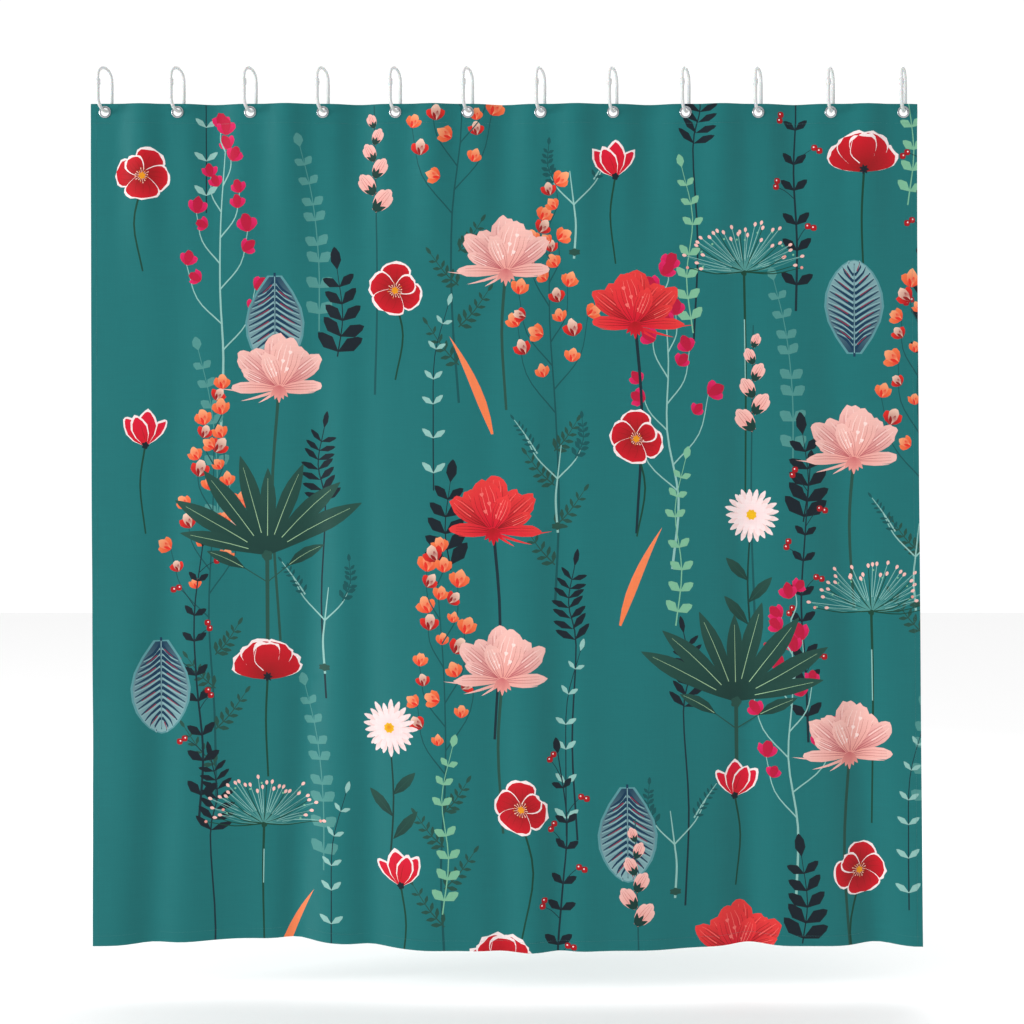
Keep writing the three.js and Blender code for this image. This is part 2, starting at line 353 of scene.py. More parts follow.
def umbel(pen, stem):
    """Thin rays with pink and mint buds, on a stem; the rays part at the origin."""
    pen.line([0j, complex(3, -stem * 0.4), complex(0, -stem)], 5.5, BOTTLE, 3.5)
    pen.line([complex(0.5, -stem * 0.18), complex(2, -stem * 0.42)], 2.4, PALE, 2.0)
    rays = 30
    for k in range(rays):
        turn = 8 + 168 * (k + CHANCE.uniform(-0.3, 0.3)) / (rays - 1)
        reach = (118 + 30 * abs(math.cos(math.radians(turn))) ** 1.5) * CHANCE.uniform(0.68, 1.04)
        squat = 0.93 - 0.05 * math.sin(math.radians(turn))
        tip = polar(reach, turn) * complex(squat, 0)
        dark = k % 5 == 0
        bow = complex(0, 8 * math.cos(math.radians(turn)))
        pen.line([0j, 0.5 * tip - abs(bow) * 1j, tip], 2.6, BOTTLE if dark else DUSTY, 1.4, 3)
        if not dark:
            pen.line([0.3 * tip, 0.95 * tip], 1.2, PALE, 1.0)
        pen.fill(Strip(tip - polar(5, turn), turn, 10, 7, 0.5, 0.9, 0.3).outline(4), CORAL_TONES[2])
        if k % 3 == 1:
            pen.dot(tip * complex(0.86, 0.06), 2.6, MINT, 5)
    for turn, reach in ((4, 128), (176, 126), (20, 96)):
        pen.line([0j, polar(reach * 0.5, turn) - 9j, polar(reach, turn)], 3, BOTTLE, 1.6, 3)
        pen.dot(polar(reach, turn), 3.5, CORAL_TONES[1])
    pen.blot(-3j, 7, 3, 0.2, BOTTLE)


def striped_leaf(pen, length, width):
    """One broad leaf with slanting stripes; its foot is the origin and it points up."""
    rim = Strip(0j, 90, length, width, 0.52, 0.75, 0.25)
    pen.strip(rim, LEAF_RIM, frill=1.5, steps=9)
    inner = Strip(complex(0, 3), 90, length - 6, width - 9, 0.52, 0.72, 0.2)
    pen.strip(inner, LEAF_NAVY, LEAF_GREY, steps=9)
    rows = 13
    for k in range(rows):
        s = 0.04 + 0.8 * k / (rows - 1)
        for side in (-1, 1):
            start = inner.at(s, 0.03 * side)
            mid = inner.at(min(s + 0.09, 0.97), 0.5 * side)
            end = inner.at(min(s + 0.16, 0.985), 0.93 * side)
            lead = 9 - 0.25 * k
            pen.line([start, mid, end], lead, LEAF_NAVY, 2.0, 2)
            shift = complex(0, 6.5)
            pen.line([start + shift, mid + shift, end + 0.5 * shift], 4.2, LEAF_GREY, 1.6, 2)
            if (k + (side > 0)) % 2:
                nudge = complex(0, 2.4)
                fleck = [0.6 * start + 0.4 * mid + nudge, 0.5 * (mid + end) + nudge]
                pen.line(fleck, 2.6, LEAF_WINE, 1.2)
    pen.line([-6j, inner.at(0.5), inner.at(0.97)], 5, LEAF_NAVY, 1.5)
    pen.line([2j, inner.at(0.5), inner.at(0.95)], 1.8, LEAF_GREY, 0.8)


def leaf_fan(pen, stem):
    """Long ribbed leaves that fan out of one foot, the origin, with a stem below it."""
    pen.line([8j, complex(0, -stem)], 9, LEAF_EDGE, 8, smooth=False)
    leaves = [
        (104, 225, 40, 0.02), (70, 215, 38, -0.04), (124, 232, 44, 0.05), (50, 228, 42, -0.1),
        (146, 236, 42, 0.06), (32, 240, 42, -0.06), (160, 198, 34, 0.1), (88, 190, 36, 0.02),
    ]
    for turn, length, width, bend in leaves:
        leaf = Strip(0j, turn, length, width, 0.62, 0.12, 0.08, bend)
        pen.strip(leaf, LEAF_GREEN, LEAF_EDGE, steps=9)
        pen.veins(leaf, RIB, (0.04,), 0.22, 0.88, 1.6)
    for turn, bend in ((38, -0.15), (148, 0.12)):
        pen.line([complex(0, -60), complex(0, -60) + polar(60, turn)], 2.5, LEAF_EDGE, 2)
        small = Strip(complex(0, -60) + polar(58, turn), turn, 92, 28, 0.5, 0.1, 0.05, bend)
        pen.strip(small, LEAF_GREEN, LEAF_EDGE, frill=1.5)
        pen.veins(small, RIB, (0.0,), 0.05, 0.9, 1.2)
    pen.blot(-2j, 13, 5, 0.2, LEAF_EDGE)


def bud_spike(pen, stem):
    """Pink buds in dark cups to alternate sides of a stem, smaller towards its tip."""
    buds = 6
    pen.line([0j, complex(6, stem * 0.6), complex(0, stem + 38 * buds)], 5, DUSK, 2.5)
    for k in range(buds):
        at, size = complex(0, stem + 36 * k), 1.0 - 0.09 * k
        turn = 90 - (-1) ** k * (40 - 4 * k)
        for lean, length, width in ((-15, 50, 24), (15, 50, 24), (0, 58, 30)):
            petal = Strip(at, turn + lean, length * size, width * size, 0.5, 0.85, 0.4)
            pen.strip(petal, CORAL_TONES[1], CORAL_TONES[2])
        pen.veins(petal, CORAL_TONES[0], (-0.4, 0.1, 0.5), 0.3, 0.9, 1.1)
        for lean in (-34, 0, 34):
            pen.strip(Strip(at, turn + lean, 27 * size, 11 * size, 0.35, 0.1, 0.6), LEAF_GREEN)


def heading(start, end):
    """The direction from one point to another, in degrees."""
    return math.degrees(math.atan2((end - start).imag, (end - start).real))


def pairs(pen, points, size, tint, count, shrink=0.4, width=0.42, spread=52):
    """Leaves in pairs along a smooth line of points, and one more at its tip."""
    line = smooth_line(points, 8)
    for k in range(count):
        i = int((0.12 + 0.8 * k / (count - 1)) * (len(line) - 2))
        way = heading(line[i], line[i + 1])
        length = size * (1 - shrink * k / count)
        for side in (-1, 1):
            turn = way + side * spread + CHANCE.uniform(-6, 6)
            pen.strip(Strip(line[i], turn, length, length * width, 0.5, 0.35, 0.05), tint, steps=3)
    last = Strip(line[-1], heading(line[-2], line[-1]), size * 0.8, size * width * 0.8, 0.5, 0.35, 0.05)
    pen.strip(last, tint, steps=4)


def sprig(pen, points, leaf_size, stem_tint, leaf_tint, count, width, stroke=3.0):
    """A stem through a few points, with leaves in pairs. width is a share of a leaf's length."""
    pen.line(points, stroke, stem_tint, stroke * 0.45)
    pairs(pen, points, leaf_size, leaf_tint, count, width=width)


def wandering_spine(reach, wander):
    """A few points straight up from the origin, each a little to one side."""
    return [0j] + [complex(CHANCE.uniform(-wander, wander), reach * k / 4) for k in range(1, 5)]


def berry_branch(pen, reach):
    """A dark climbing stem with leaves in pairs and red berries; its foot is the origin."""
    spine = wandering_spine(reach, 14)
    sprig(pen, spine, 44, DARK_STEM, INK, 8, 0.5, 5.5)
    line = smooth_line(spine, 8)
    for k in range(6):
        foot = line[int((0.28 + 0.13 * k) * (len(line) - 1))]
        turn = 90 - (-1) ** k * CHANCE.uniform(30, 60)
        tip = foot + polar(CHANCE.uniform(40, 58), turn)
        pen.line([foot, 0.5 * (foot + tip) + 4j, tip], 1.8, DARK_STEM, 1.2)
        for spot in (tip, tip + polar(13, turn - 70)):
            pen.blot(spot, 7.5, 4, 0.12, RED, DEEP_RED)
            pen.dot(spot + complex(-1.5, 1.5), 1.9, WHITE, 5)


def blossom(pen, at, turn, size, tints):
    """A small side-on blossom of a few crumpled petals."""
    deep, mid, light = tints
    for lean, length, width in ((-38, 26, 16), (36, 25, 15), (0, 30, 19)):
        petal = Strip(at, turn + lean, length * size, width * size, 0.62, 0.7, 0.25)
        pen.strip(petal, deep, mid if lean else light, frill=2.5, steps=4)
    pen.strip(Strip(at, turn + 12, 18 * size, 7 * size, 0.5, 0.4, 0.3), light, deep, steps=3)
    pen.strip(Strip(at, turn - 18, 15 * size, 6 * size, 0.5, 0.4, 0.3), deep, steps=3)


def twig(pen, reach, shoots, blooms, wood, tints, bare):
    """Blossoms on shoots to alternate sides, above the bare share; its foot is the origin."""
    spine = wandering_spine(reach, 16)
    pen.line(spine, 5.5, wood, 2)
    line = smooth_line(spine, 8)
    for k in range(shoots):
        share = bare + (1 - bare) * k / (shoots - 1)
        foot = line[int(share * (len(line) - 1))]
        side = (-1) ** k
        lean = 90 - side * CHANCE.uniform(26, 48) * (1.25 - share)
        length = reach * (0.36 - 0.26 * share) * CHANCE.uniform(0.85, 1.15)
        tip = foot + polar(length, lean)
        elbow = 0.5 * (foot + tip) + polar(0.12 * length, lean - 90 * side)
        pen.line([foot, elbow, tip], 3.2, wood, 1.6)
        for n in range(blooms):
            spot = tip + (foot - tip) * 0.3 * n + polar(9 * min(n, 1), lean + 90 * (-1) ** n)
            size = CHANCE.uniform(0.95, 1.35) - 0.1 * n
            blossom(pen, spot, lean + CHANCE.uniform(-50, 50), size, tints[n % len(tints)])


def leafy_twig(pen, reach):
    """A tall twig with orange blossoms above and ferny side shoots below."""
    warm, hot = (VERMILION, ORANGE, PEACH), (DEEP_RED, VERMILION, CREAM)
    twig(pen, reach, 8, 3, DUSK, (warm, hot, warm), 0.5)
    for share, lean in ((0.1, 52), (0.2, 130), (0.31, 48), (0.4, 128)):
        foot = complex(0, share * reach)
        tip = foot + polar(120 - 100 * share, lean)
        sprig(pen, [foot, 0.5 * (foot + tip) - 6j, tip], 26, LEAF_EDGE, LEAF_EDGE, 5, 0.4)


def fern_fork(pen, foot):
    """A pale forked twig with ferny ends; its foot is the origin."""
    fork = complex(0, foot)
    pen.line([0j, complex(4, foot * 0.6), fork], 4.5, PALE, 3)
    pen.blot(complex(1, foot * 0.12), 13, 6, 0.25, LEAF_EDGE, squash=0.6)
    for prong, bulge in ((64 + 86j, 10), (-52 + 74j, -10), (-8 + 66j, 0)):
        tip = fork + prong
        pen.line([fork, 0.5 * (fork + tip) + bulge, tip], 3, PALE, 1.6)
    sprig(pen, [fork + p for p in (40 + 50j, 62 + 84j, 86 + 116j)], 17, PALE, DUSK, 6, 0.4)
    sprig(pen, [fork + p for p in (-36 + 40j, -52 + 76j, -50 + 118j)], 20, DUSK, DUSK, 6, 0.5)


def dark_fern(pen, reach):
    """An arching stem with slim dark leaves towards its tip; its foot is the origin."""
    leafy = [complex(0, reach), complex(16, reach + 90), complex(2, reach + 170)]
    pen.line([0j, complex(10, reach * 0.5), *leafy], 4.4, DARK_STEM, 2)
    pairs(pen, leafy, 48, INK, 7, 0.3, 0.34, 58)


def ribbon_leaf(pen):
    """One long curling orange leaf; its foot is the origin."""
    leaf = Strip(0j, 106, 230, 20, 0.36, 0.0, 0.25, 0.14)
    pen.strip(leaf, ORANGE, colour("f4875a"), steps=10)


def stalk(pen, length, width, tint, lean):
    """A flower's own stem, from the origin down."""
    middle = complex(lean * length, -0.45 * length)
    pen.line([0j, middle, complex(0, -length)], width, tint, 0.8 * width)


# ---- where each plant stands ----
def plant(shapes, kind, x, y, flip):
    """Draws one plant with the middle of its head at x, y."""

    def low(drop, size=1.0, turn=0.0):
        """A pen for a plant whose origin is this far below the middle of its head."""
        return Pen(shapes, x, y - drop, size, turn, flip)

    long_stem = CHANCE.uniform(300, 620)
    short_stem = CHANCE.uniform(150, 260)
    if kind in "CR":
        stalk(low(0.05), long_stem, 7, DARK_STEM if kind == "R" else LEAF_EDGE, 0.03)
        cosmos(low(0.05, 1.05), CORAL_TONES if kind == "C" else SCARLET_TONES)
    elif kind == "P":
        stalk(low(0.02), short_stem, 4.5, BOTTLE, -0.1)
        poppy(low(0.0, 1.0, CHANCE.uniform(-15, 15)))
    elif kind == "T":
        stalk(low(0.03), short_stem, 4.2, BOTTLE, 0.06)
        tulip(low(0.03, 1.1, CHANCE.uniform(-8, 8)))
    elif kind == "B":
        stalk(low(0.04), short_stem, 5, BOTTLE, 0.02)
        side_poppy(low(0.04, 0.95))
    elif kind == "D":
        daisy(low(0.3), 300)
    elif kind == "U":
        umbel(low(0.06), long_stem)
    elif kind == "L":
        striped_leaf(low(0.1, 1.0, CHANCE.choice((0, 180))), 205, 132)
    elif kind == "F":
        leaf_fan(low(0.1), short_stem)
    elif kind == "K":
        bud_spike(low(0.52), 400)
    elif kind == "S":
        sprig(low(0.1), [0j, 12 + 90j, 190j], 62, INK, INK, 5, 0.5)
    elif kind == "Y":
        berry_branch(low(0.3), 600)
    elif kind == "M":
        twig(low(0.35), 600, 8, 2, PALE, ((CRIMSON, ROSE, CRIMSON),), 0.3)
    elif kind == "O":
        leafy_twig(low(0.6), 820)
    elif kind == "N":
        fern_fork(low(0.16, 1.1), 106)
    elif kind == "E":
        dark_fern(low(0.5), 420)
    elif kind == "G":
        sprig(low(0.3), [0j, 150j, 14 + 290j, 40 + 400j], 38, DUSTY, DUSTY, 8, 0.72)
    elif kind == "I":
        ribbon_leaf(low(0.1))
    elif kind == "J":
        sprig(low(0.2), [0j, -14 + 120j, 250j, -24 + 360j], 36, MINT, MINT, 7, 0.6)
    elif kind == "V":
        sprig(low(0.2), [0j, 150j, 4 + 290j, 34 + 400j], 34, DARK_STEM, PALE, 6, 0.42)


# Two sowings, each a row of plants to a line, from the header down. A dot leaves a place bare.
# Those at the back are twigs and leaves, and those in front carry the flowers.
BACK_SOWING = ("VGONEYJ", "MS.OJGY", "GEVNMSO", "ONSEJYN", "YGOVEMG", "EVJYNSV")
FRONT_SOWING = ("PLKCTUB", ".CPIRKL", "TF.RPDC", "LB.CIFU", ".UDPLTC", ".ITBKRP")
FIRST_ROWS = (-0.02, -0.13)  # height of each sowing's first row
STAGGER = 0.5  # every other column stands this share of a row lower
WANDER = 0.03  # how far a plant stands from its place, at most


def botanical_print():
    """All the plants, back to front: (outline, near colour, far colour, foot, reach) each."""
    shapes = []
    for sowing, first_row in zip((BACK_SOWING, FRONT_SOWING), FIRST_ROWS):
        pitch_x = CUT_WIDTH / len(sowing[0])
        pitch_y = CUT_DROP / len(sowing)
        shift = 0.5 * pitch_x if sowing is BACK_SOWING else 0.0
        for row, kinds in enumerate(sowing):
            for column, kind in enumerate(kinds):
                x = (column + 0.5) * pitch_x + shift - CUT_WIDTH / 2 + CHANCE.uniform(-WANDER, WANDER)
                lower = STAGGER * (column % 2) * pitch_y
                y = first_row - row * pitch_y - lower + CHANCE.uniform(-WANDER, WANDER)
                plant(shapes, kind, x, y, CHANCE.random() < 0.5)
    return shapes


# ---- finishes ----
def start_group(name, inputs, outputs):
    """An empty node group with its sockets: the group, its input node and its output node."""
    group = bpy.data.node_groups.new(name, "ShaderNodeTree")
    for label, kind, default in inputs:
        socket = group.interface.new_socket(name=label, in_out="INPUT", socket_type=kind)
        if default is not None:
            socket.default_value = default
    for label, kind in outputs:
        group.interface.new_socket(name=label, in_out="OUTPUT", socket_type=kind)
    start = group.nodes.new("NodeGroupInput")
    end = group.nodes.new("NodeGroupOutput")
    return group, start, end


def add(tree, kind, inputs=None, **settings):
    """A node with its settings, and values or links for its inputs."""
    node = tree.nodes.new(kind)
    for key, value in settings.items():
        setattr(node, key, value)
    for key, value in (inputs or {}).items():
        if isinstance(value, bpy.types.NodeSocket):
            tree.links.new(value, node.inputs[key])
        else:
            node.inputs[key].default_value = value
    return node


def sum_of(tree, operation, a, b=0.0, c=0.0):
    """The result of a Math node."""
    return add(tree, "ShaderNodeMath", {0: a, 1: b, 2: c}, operation=operation).outputs[0]


THREAD_PITCH = 0.0004  # between two threads of the cloth
TWIST_PITCH = 0.0005  # between two turns of the sewing thread
SLUB_STRETCH = ((14.0, 700.0, 1.0), (520.0, 9.0, 1.0))  # slubs run across, and down


def noise_on(tree, place, scale, detail, roughness=0.5):
    """Noise from 0 to 1 at a place."""
    values = {"Vector": place, "Scale": scale, "Detail": detail, "Roughness": roughness}
    return add(tree, "ShaderNodeTexNoise", values).outputs["Fac"]


def bump_on(tree, height, strength, distance, under=None):
    """A normal that is bent by a height, over another normal if there is one."""
    values = {"Strength": strength, "Distance": distance, "Height": height}
    if under is not None:
        values["Normal"] = under
    return add(tree, "ShaderNodeBump", values).outputs[0]


def tint_between(tree, share, near, far):
    """One colour that turns into another as the share goes from 0 to 1."""
    ends = {0: share, 6: (*near, 1), 7: (*far, 1)}
    return add(tree, "ShaderNodeMix", ends, data_type="RGBA").outputs[2]


def weave_group():
    """A plain weave with slubs in it, on a flat pattern measured in metres. Its tone is the slubs' own
    tone, with painted shade where the threads dip under each other.
    """
    group, start, end = start_group(
        "plain_weave",
        [("Cloth", "NodeSocketVector", None), ("Thread pitch", "NodeSocketFloat", THREAD_PITCH)],
        [("Height", "NodeSocketFloat"), ("Slub tone and painted weave shade", "NodeSocketFloat")],
    )
    parts = add(group, "ShaderNodeSeparateXYZ", {0: start.outputs["Cloth"]})
    waves = []
    for axis in (0, 1):
        turns = sum_of(group, "DIVIDE", parts.outputs[axis], start.outputs["Thread pitch"])
        waves.append(sum_of(group, "SINE", sum_of(group, "MULTIPLY", turns, math.pi)))
    over_under = sum_of(group, "MULTIPLY", waves[0], waves[1])
    slubs = []
    for stretch in SLUB_STRETCH:
        place = add(group, "ShaderNodeMapping", {"Vector": start.outputs["Cloth"], "Scale": stretch})
        slubs.append(noise_on(group, place.outputs[0], 1.0, 2.0))
    slub = sum_of(group, "MULTIPLY_ADD", slubs[0], 0.6, sum_of(group, "MULTIPLY", slubs[1], 0.4))
    height = sum_of(group, "MULTIPLY_ADD", over_under, 0.5, slub)
    # Painted shade: the tone follows the threads' over and under, so each dip is darker; the slubs' share
    # is their own tone.
    slub_tone_and_weave_shade = sum_of(group, "MULTIPLY_ADD", over_under, 0.05, sum_of(group, "MULTIPLY_ADD", slub, 0.3, 0.85))
    group.links.new(height, end.inputs["Height"])
    group.links.new(slub_tone_and_weave_shade, end.inputs["Slub tone and painted weave shade"])
    return group


def handling_group():
    """Fine scratches and soft smudges from handling, on a pattern measured in metres."""
    group, start, end = start_group(
        "handling",
        [("Place", "NodeSocketVector", None), ("Grain", "NodeSocketFloat", 900.0)],
        [("Scratches", "NodeSocketFloat"), ("Smudges", "NodeSocketFloat")],
    )
    place, grain = start.outputs["Place"], start.outputs["Grain"]
    stretched = add(group, "ShaderNodeMapping", {"Vector": place, "Scale": (1.0, 1.0, 0.12)})
    scratches = noise_on(group, stretched.outputs[0], grain, 4.0, 0.7)
    group.links.new(scratches, end.inputs["Scratches"])
    group.links.new(noise_on(group, place, 160.0, 3.0), end.inputs["Smudges"])
    return group


WEAVE = weave_group()
HANDLING = handling_group()


def new_finish(name, **sockets):
    """A material with a Principled shader, and the values that are the same all over."""
    material = bpy.data.materials.new(name)
    material.use_nodes = True
    tree = material.node_tree
    shader = tree.nodes["Principled BSDF"]
    for label, value in sockets.items():
        shader.inputs[label.replace("_", " ")].default_value = value
    return material, tree, shader


def printed_polyester():
    """Satin polyester: the ink's own colour, a fine weave with painted shade in its dips, and soft
    crumples over it.
    """
    material, tree, shader = new_finish(
        "printed_polyester", Specular_IOR_Level=0.22, Sheen_Weight=0.02, Sheen_Roughness=0.4
    )
    flat = add(tree, "ShaderNodeUVMap", uv_map="cloth").outputs[0]
    ink = add(tree, "ShaderNodeAttribute", attribute_name="ink").outputs["Color"]
    weave = add(tree, "ShaderNodeGroup", {"Cloth": flat, "Thread pitch": THREAD_PITCH}, node_tree=WEAVE)
    # The ink times the weave's tone: the slubs' own tone, and painted shade where the threads dip.
    shaded = add(
        tree, "ShaderNodeMix", {0: 1.0, 6: ink, 7: weave.outputs["Slub tone and painted weave shade"]},
        data_type="RGBA", blend_type="MULTIPLY",
    )
    lengthwise = add(tree, "ShaderNodeMapping", {"Vector": flat, "Scale": (1.0, 0.22, 1.0)})
    crumples = bump_on(tree, noise_on(tree, lengthwise.outputs[0], 15.0, 2.0), 0.3, 0.0009)
    height = weave.outputs["Height"]
    tree.links.new(shaded.outputs[2], shader.inputs["Base Color"])
    tree.links.new(sum_of(tree, "MULTIPLY_ADD", height, 0.08, 0.5), shader.inputs["Roughness"])
    tree.links.new(bump_on(tree, height, 0.3, 0.00008, crumples), shader.inputs["Normal"])
    return material


def sewing_thread():
    """Spun thread: the same weave at a coarser pitch gives it its twist, and painted shade darkens the
    grooves between its turns.
    """
    material, tree, shader = new_finish("sewing_thread", Specular_IOR_Level=0.4, Sheen_Weight=0.2)
    place = add(tree, "ShaderNodeTexCoord").outputs["Object"]
    turned = add(tree, "ShaderNodeMapping", {"Vector": place, "Rotation": (0.6, 0.7, 0.5)})
    values = {"Cloth": turned.outputs[0], "Thread pitch": TWIST_PITCH}
    height = add(tree, "ShaderNodeGroup", values, node_tree=WEAVE).outputs["Height"]
    # Painted shade: the thread is darker teal where the twist dips and lighter on its crests.
    tint = tint_between(tree, height, colour("1c5657"), colour("2d7a79"))
    tree.links.new(tint, shader.inputs["Base Color"])
    tree.links.new(sum_of(tree, "MULTIPLY_ADD", height, 0.1, 0.5), shader.inputs["Roughness"])
    tree.links.new(bump_on(tree, height, 0.5, 0.0001), shader.inputs["Normal"])
    return material


def handled(name, near, far, rough_low, rough_high, depth, grain, **sockets):
    """A hard finish whose tint and gloss change a little with scratches and smudges."""
    material, tree, shader = new_finish(name, **sockets)
    place = add(tree, "ShaderNodeTexCoord").outputs["Object"]
    marks = add(tree, "ShaderNodeGroup", {"Place": place, "Grain": grain}, node_tree=HANDLING)
    scratches, smudges = marks.outputs["Scratches"], marks.outputs["Smudges"]
    spread = {"From Min": 0.3, "From Max": 0.7, "To Min": rough_low, "To Max": rough_high}
    gloss = add(tree, "ShaderNodeMapRange", {"Value": scratches, **spread})
    tree.links.new(tint_between(tree, smudges, near, far), shader.inputs["Base Color"])
    tree.links.new(gloss.outputs[0], shader.inputs["Roughness"])
    tree.links.new(bump_on(tree, scratches, 0.3, depth), shader.inputs["Normal"])
    return material


PRINTED = printed_polyester()
THREAD = sewing_thread()
NICKEL = handled(
    "polished_nickel", colour("bcc0c3"), colour("9fa4a8"), 0.1, 0.24, 0.00002, 1400.0, Metallic=1.0
)
PLASTIC = handled(
    "white_plastic", colour("cfd1d0"), colour("c3c6c6"), 0.26, 0.4, 0.00003, 500.0,
    Specular_IOR_Level=0.5, Subsurface_Weight=0.15, Subsurface_Scale=0.002,
)


# ---- the flat cloth, cut along the print's visible edges ----
SIDE_STEPS = 100
GRID_ACROSS, GRID_DOWN = 100, 46  # the folds run down the cloth, so it bends most across
SNAP = 1.2e-4  # corners of the print closer together than this become one
HOLE_SIDES = 36


def edge_of_cloth():
    """The cut edge, anticlockwise from the lower left corner."""
    corners = [
        complex(-CUT_WIDTH / 2, -CUT_DROP),
        complex(CUT_WIDTH / 2, -CUT_DROP),
        complex(CUT_WIDTH / 2, 0),
        complex(-CUT_WIDTH / 2, 0),
    ]
    rim = []
    for start, end in zip(corners, corners[1:] + corners[:1]):
        rim += [start + (end - start) * k / SIDE_STEPS for k in range(SIDE_STEPS)]
    return np.array(rim)


def round_hole(centre, radius):
    return np.array([centre + polar(radius, 360 * k / HOLE_SIDES) for k in range(HOLE_SIDES)])


def inner_grid():
    """Points spread evenly over the cloth, so that every part of it can bend."""
    points = []
    for j in range(1, GRID_DOWN):
        for i in range(1, GRID_ACROSS):
            x = CUT_WIDTH * ((i + 0.5 * (j % 2) - 0.25) / GRID_ACROSS - 0.5)
            points.append(complex(x, -CUT_DROP * j / GRID_DOWN))
    return points


def triangulate(loops, lines, loose):
    """Points and triangles that keep to the loops and lines."""
    points, edges = [], []
    for loop in loops:
        first, count = len(points), len(loop)
        edges += [(first + k, first + (k + 1) % count) for k in range(count)]
        points += list(loop)
    for start, end in lines:
        edges.append((len(points), len(points) + 1))
        points += [start, end]
    flat = [Vector((p.real, p.imag)) for p in [*points, *loose]]
    found = delaunay_2d_cdt(flat, edges, [], 0, SNAP, False)
    points = np.array([complex(*p) for p in found[0]])
    return points, np.array(found[2])


def uppermost(loops, spots):
    """For each spot, the number of the last loop that goes round it, or -1."""
    top = np.full(len(spots), -1)
    for number, loop in enumerate(loops):
        near = np.flatnonzero(
            (spots.real > loop.real.min()) & (spots.real < loop.real.max())
            & (spots.imag > loop.imag.min()) & (spots.imag < loop.imag.max())
        )
        if not len(near):
            continue
        spot, start, end = spots[near][:, None], loop[None, :], np.roll(loop, -1)[None, :]
        rises = end.imag > start.imag
        level = (start.imag <= spot.imag) != (end.imag <= spot.imag)
        share = (spot.imag - start.imag) / np.where(end.imag == start.imag, 1.0, end.imag - start.imag)
        right = start.real + share * (end.real - start.real) > spot.real
        turns = (level & right & rises).sum(1) - (level & right & ~rises).sum(1)
        top[near[turns != 0]] = number
    return top


def on_cloth(points, triangles, holes):
    """The triangles that are inside the cut edge and outside the holes."""
    middles = points[triangles].mean(1)
    inside = (abs(middles.real) < CUT_WIDTH / 2) & (middles.imag < 0) & (middles.imag > -CUT_DROP)
    return triangles[inside & (uppermost(holes, middles) < 0)]


def seen_edges(points, triangles, top):
    """The edges across which one shape gives way to another."""
    waiting, found = {}, []
    for t, corners in enumerate(triangles.tolist()):
        for a, b in zip(corners, corners[1:] + corners[:1]):
            other = waiting.pop((b, a), None)
            if other is None:
                waiting[(a, b)] = t
            elif top[other] != top[t]:
                found.append((points[a], points[b]))
    return found


def cut_cloth(shapes, hole_centres, hole_radius):
    """The flat cloth: points, triangles, and the number of the shape on each, or -1 if bare."""
    holes = [round_hole(c, hole_radius) for c in hole_centres]
    borders = [edge_of_cloth()] + holes
    outlines = [shape[0] for shape in shapes]

    # Cutting along every outline finds which edges aren't hidden under a later shape.
    points, triangles = triangulate(borders + outlines, [], [])
    triangles = on_cloth(points, triangles, holes)
    seen = seen_edges(points, triangles, uppermost(outlines, points[triangles].mean(1)))

    # The cloth is cut along those edges alone, with points between them where it can bend.
    points, triangles = triangulate(borders, seen, inner_grid())
    triangles = on_cloth(points, triangles, holes)
    top = uppermost(outlines, points[triangles].mean(1))
    used, triangles = np.unique(triangles, return_inverse=True)
    return points[used], triangles.reshape(-1, 3), top


# ---- how the cloth hangs ----
# Each long fold: its place at the header and at the bottom edge, as a share of half the width,
# how far it swings to the front (-) or the back (+), and its half width.
FOLDS = (
    (-0.76, -0.86, 0.014, 0.060),
    (-0.50, -0.62, 0.034, 0.200),
    (-0.42, -0.51, 0.020, 0.055),
    (-0.35, -0.33, 0.012, 0.050),
    (-0.18, -0.20, -0.014, 0.090),
    (-0.05, -0.01, 0.012, 0.055),
    (0.02, 0.06, -0.034, 0.230),
    (0.14, 0.12, 0.014, 0.050),
    (0.36, 0.34, -0.014, 0.110),
    (0.57, 0.58, 0.021, 0.060),
    (0.74, 0.89, 0.022, 0.065),
)
FOLD_GROWTH = 0.75
FOLD_SHARPNESS = 1.6
SCALLOP = 0.0124  # how far the header swings between two eyelets
SCALLOP_FADE = 0.42  # the scallops die away this far down
EYELET_FLAT = 0.016  # half width of the flat place at each eyelet
FLARE = 0.018  # the loose lower corner stands out this far past the header
FLARE_GROWTH = 1.5
DRAWN_UP = 0.3  # where the bottom edge swings back it also rises, by this share
HANG_STEPS = 122


def scallops(x):
    """The header is flat at each eyelet, and swings to alternate sides between them."""
    along = (x - EYELET_X[0]) / PITCH
    bay = np.floor(along)
    t = ((along - bay) * PITCH - EYELET_FLAT) / (PITCH - 2 * EYELET_FLAT)
    swing = np.where(bay % 2 == 1, 1, -1) * SCALLOP * np.sin(math.pi * np.clip(t, 0, 1)) ** 2
    return np.where((bay < 0) | (bay >= len(EYELET_X) - 1), 0.0, swing)


def depth(x, drop):
    """How far back the cloth is at x, this far down from the header."""
    edge = HUNG_WIDTH / 2 - SIDE_HEM
    x = np.clip(x, -edge, edge)
    drop = np.clip(drop, HEADER_HEM, CUT_DROP - BOTTOM_HEM)
    grown = ((drop - HEADER_HEM) / (CUT_DROP - HEADER_HEM)) ** FOLD_GROWTH
    t = np.minimum(1, (drop - HEADER_HEM) / SCALLOP_FADE)
    y = (1 - t * t * (3 - 2 * t)) * scallops(x)
    for top, bottom, swing, half in FOLDS:
        share = top + (bottom - top) * drop / CUT_DROP
        off = (x - share * HUNG_WIDTH / 2) / half
        y = y + grown * swing * np.exp(-off * off * FOLD_SHARPNESS)
    return y


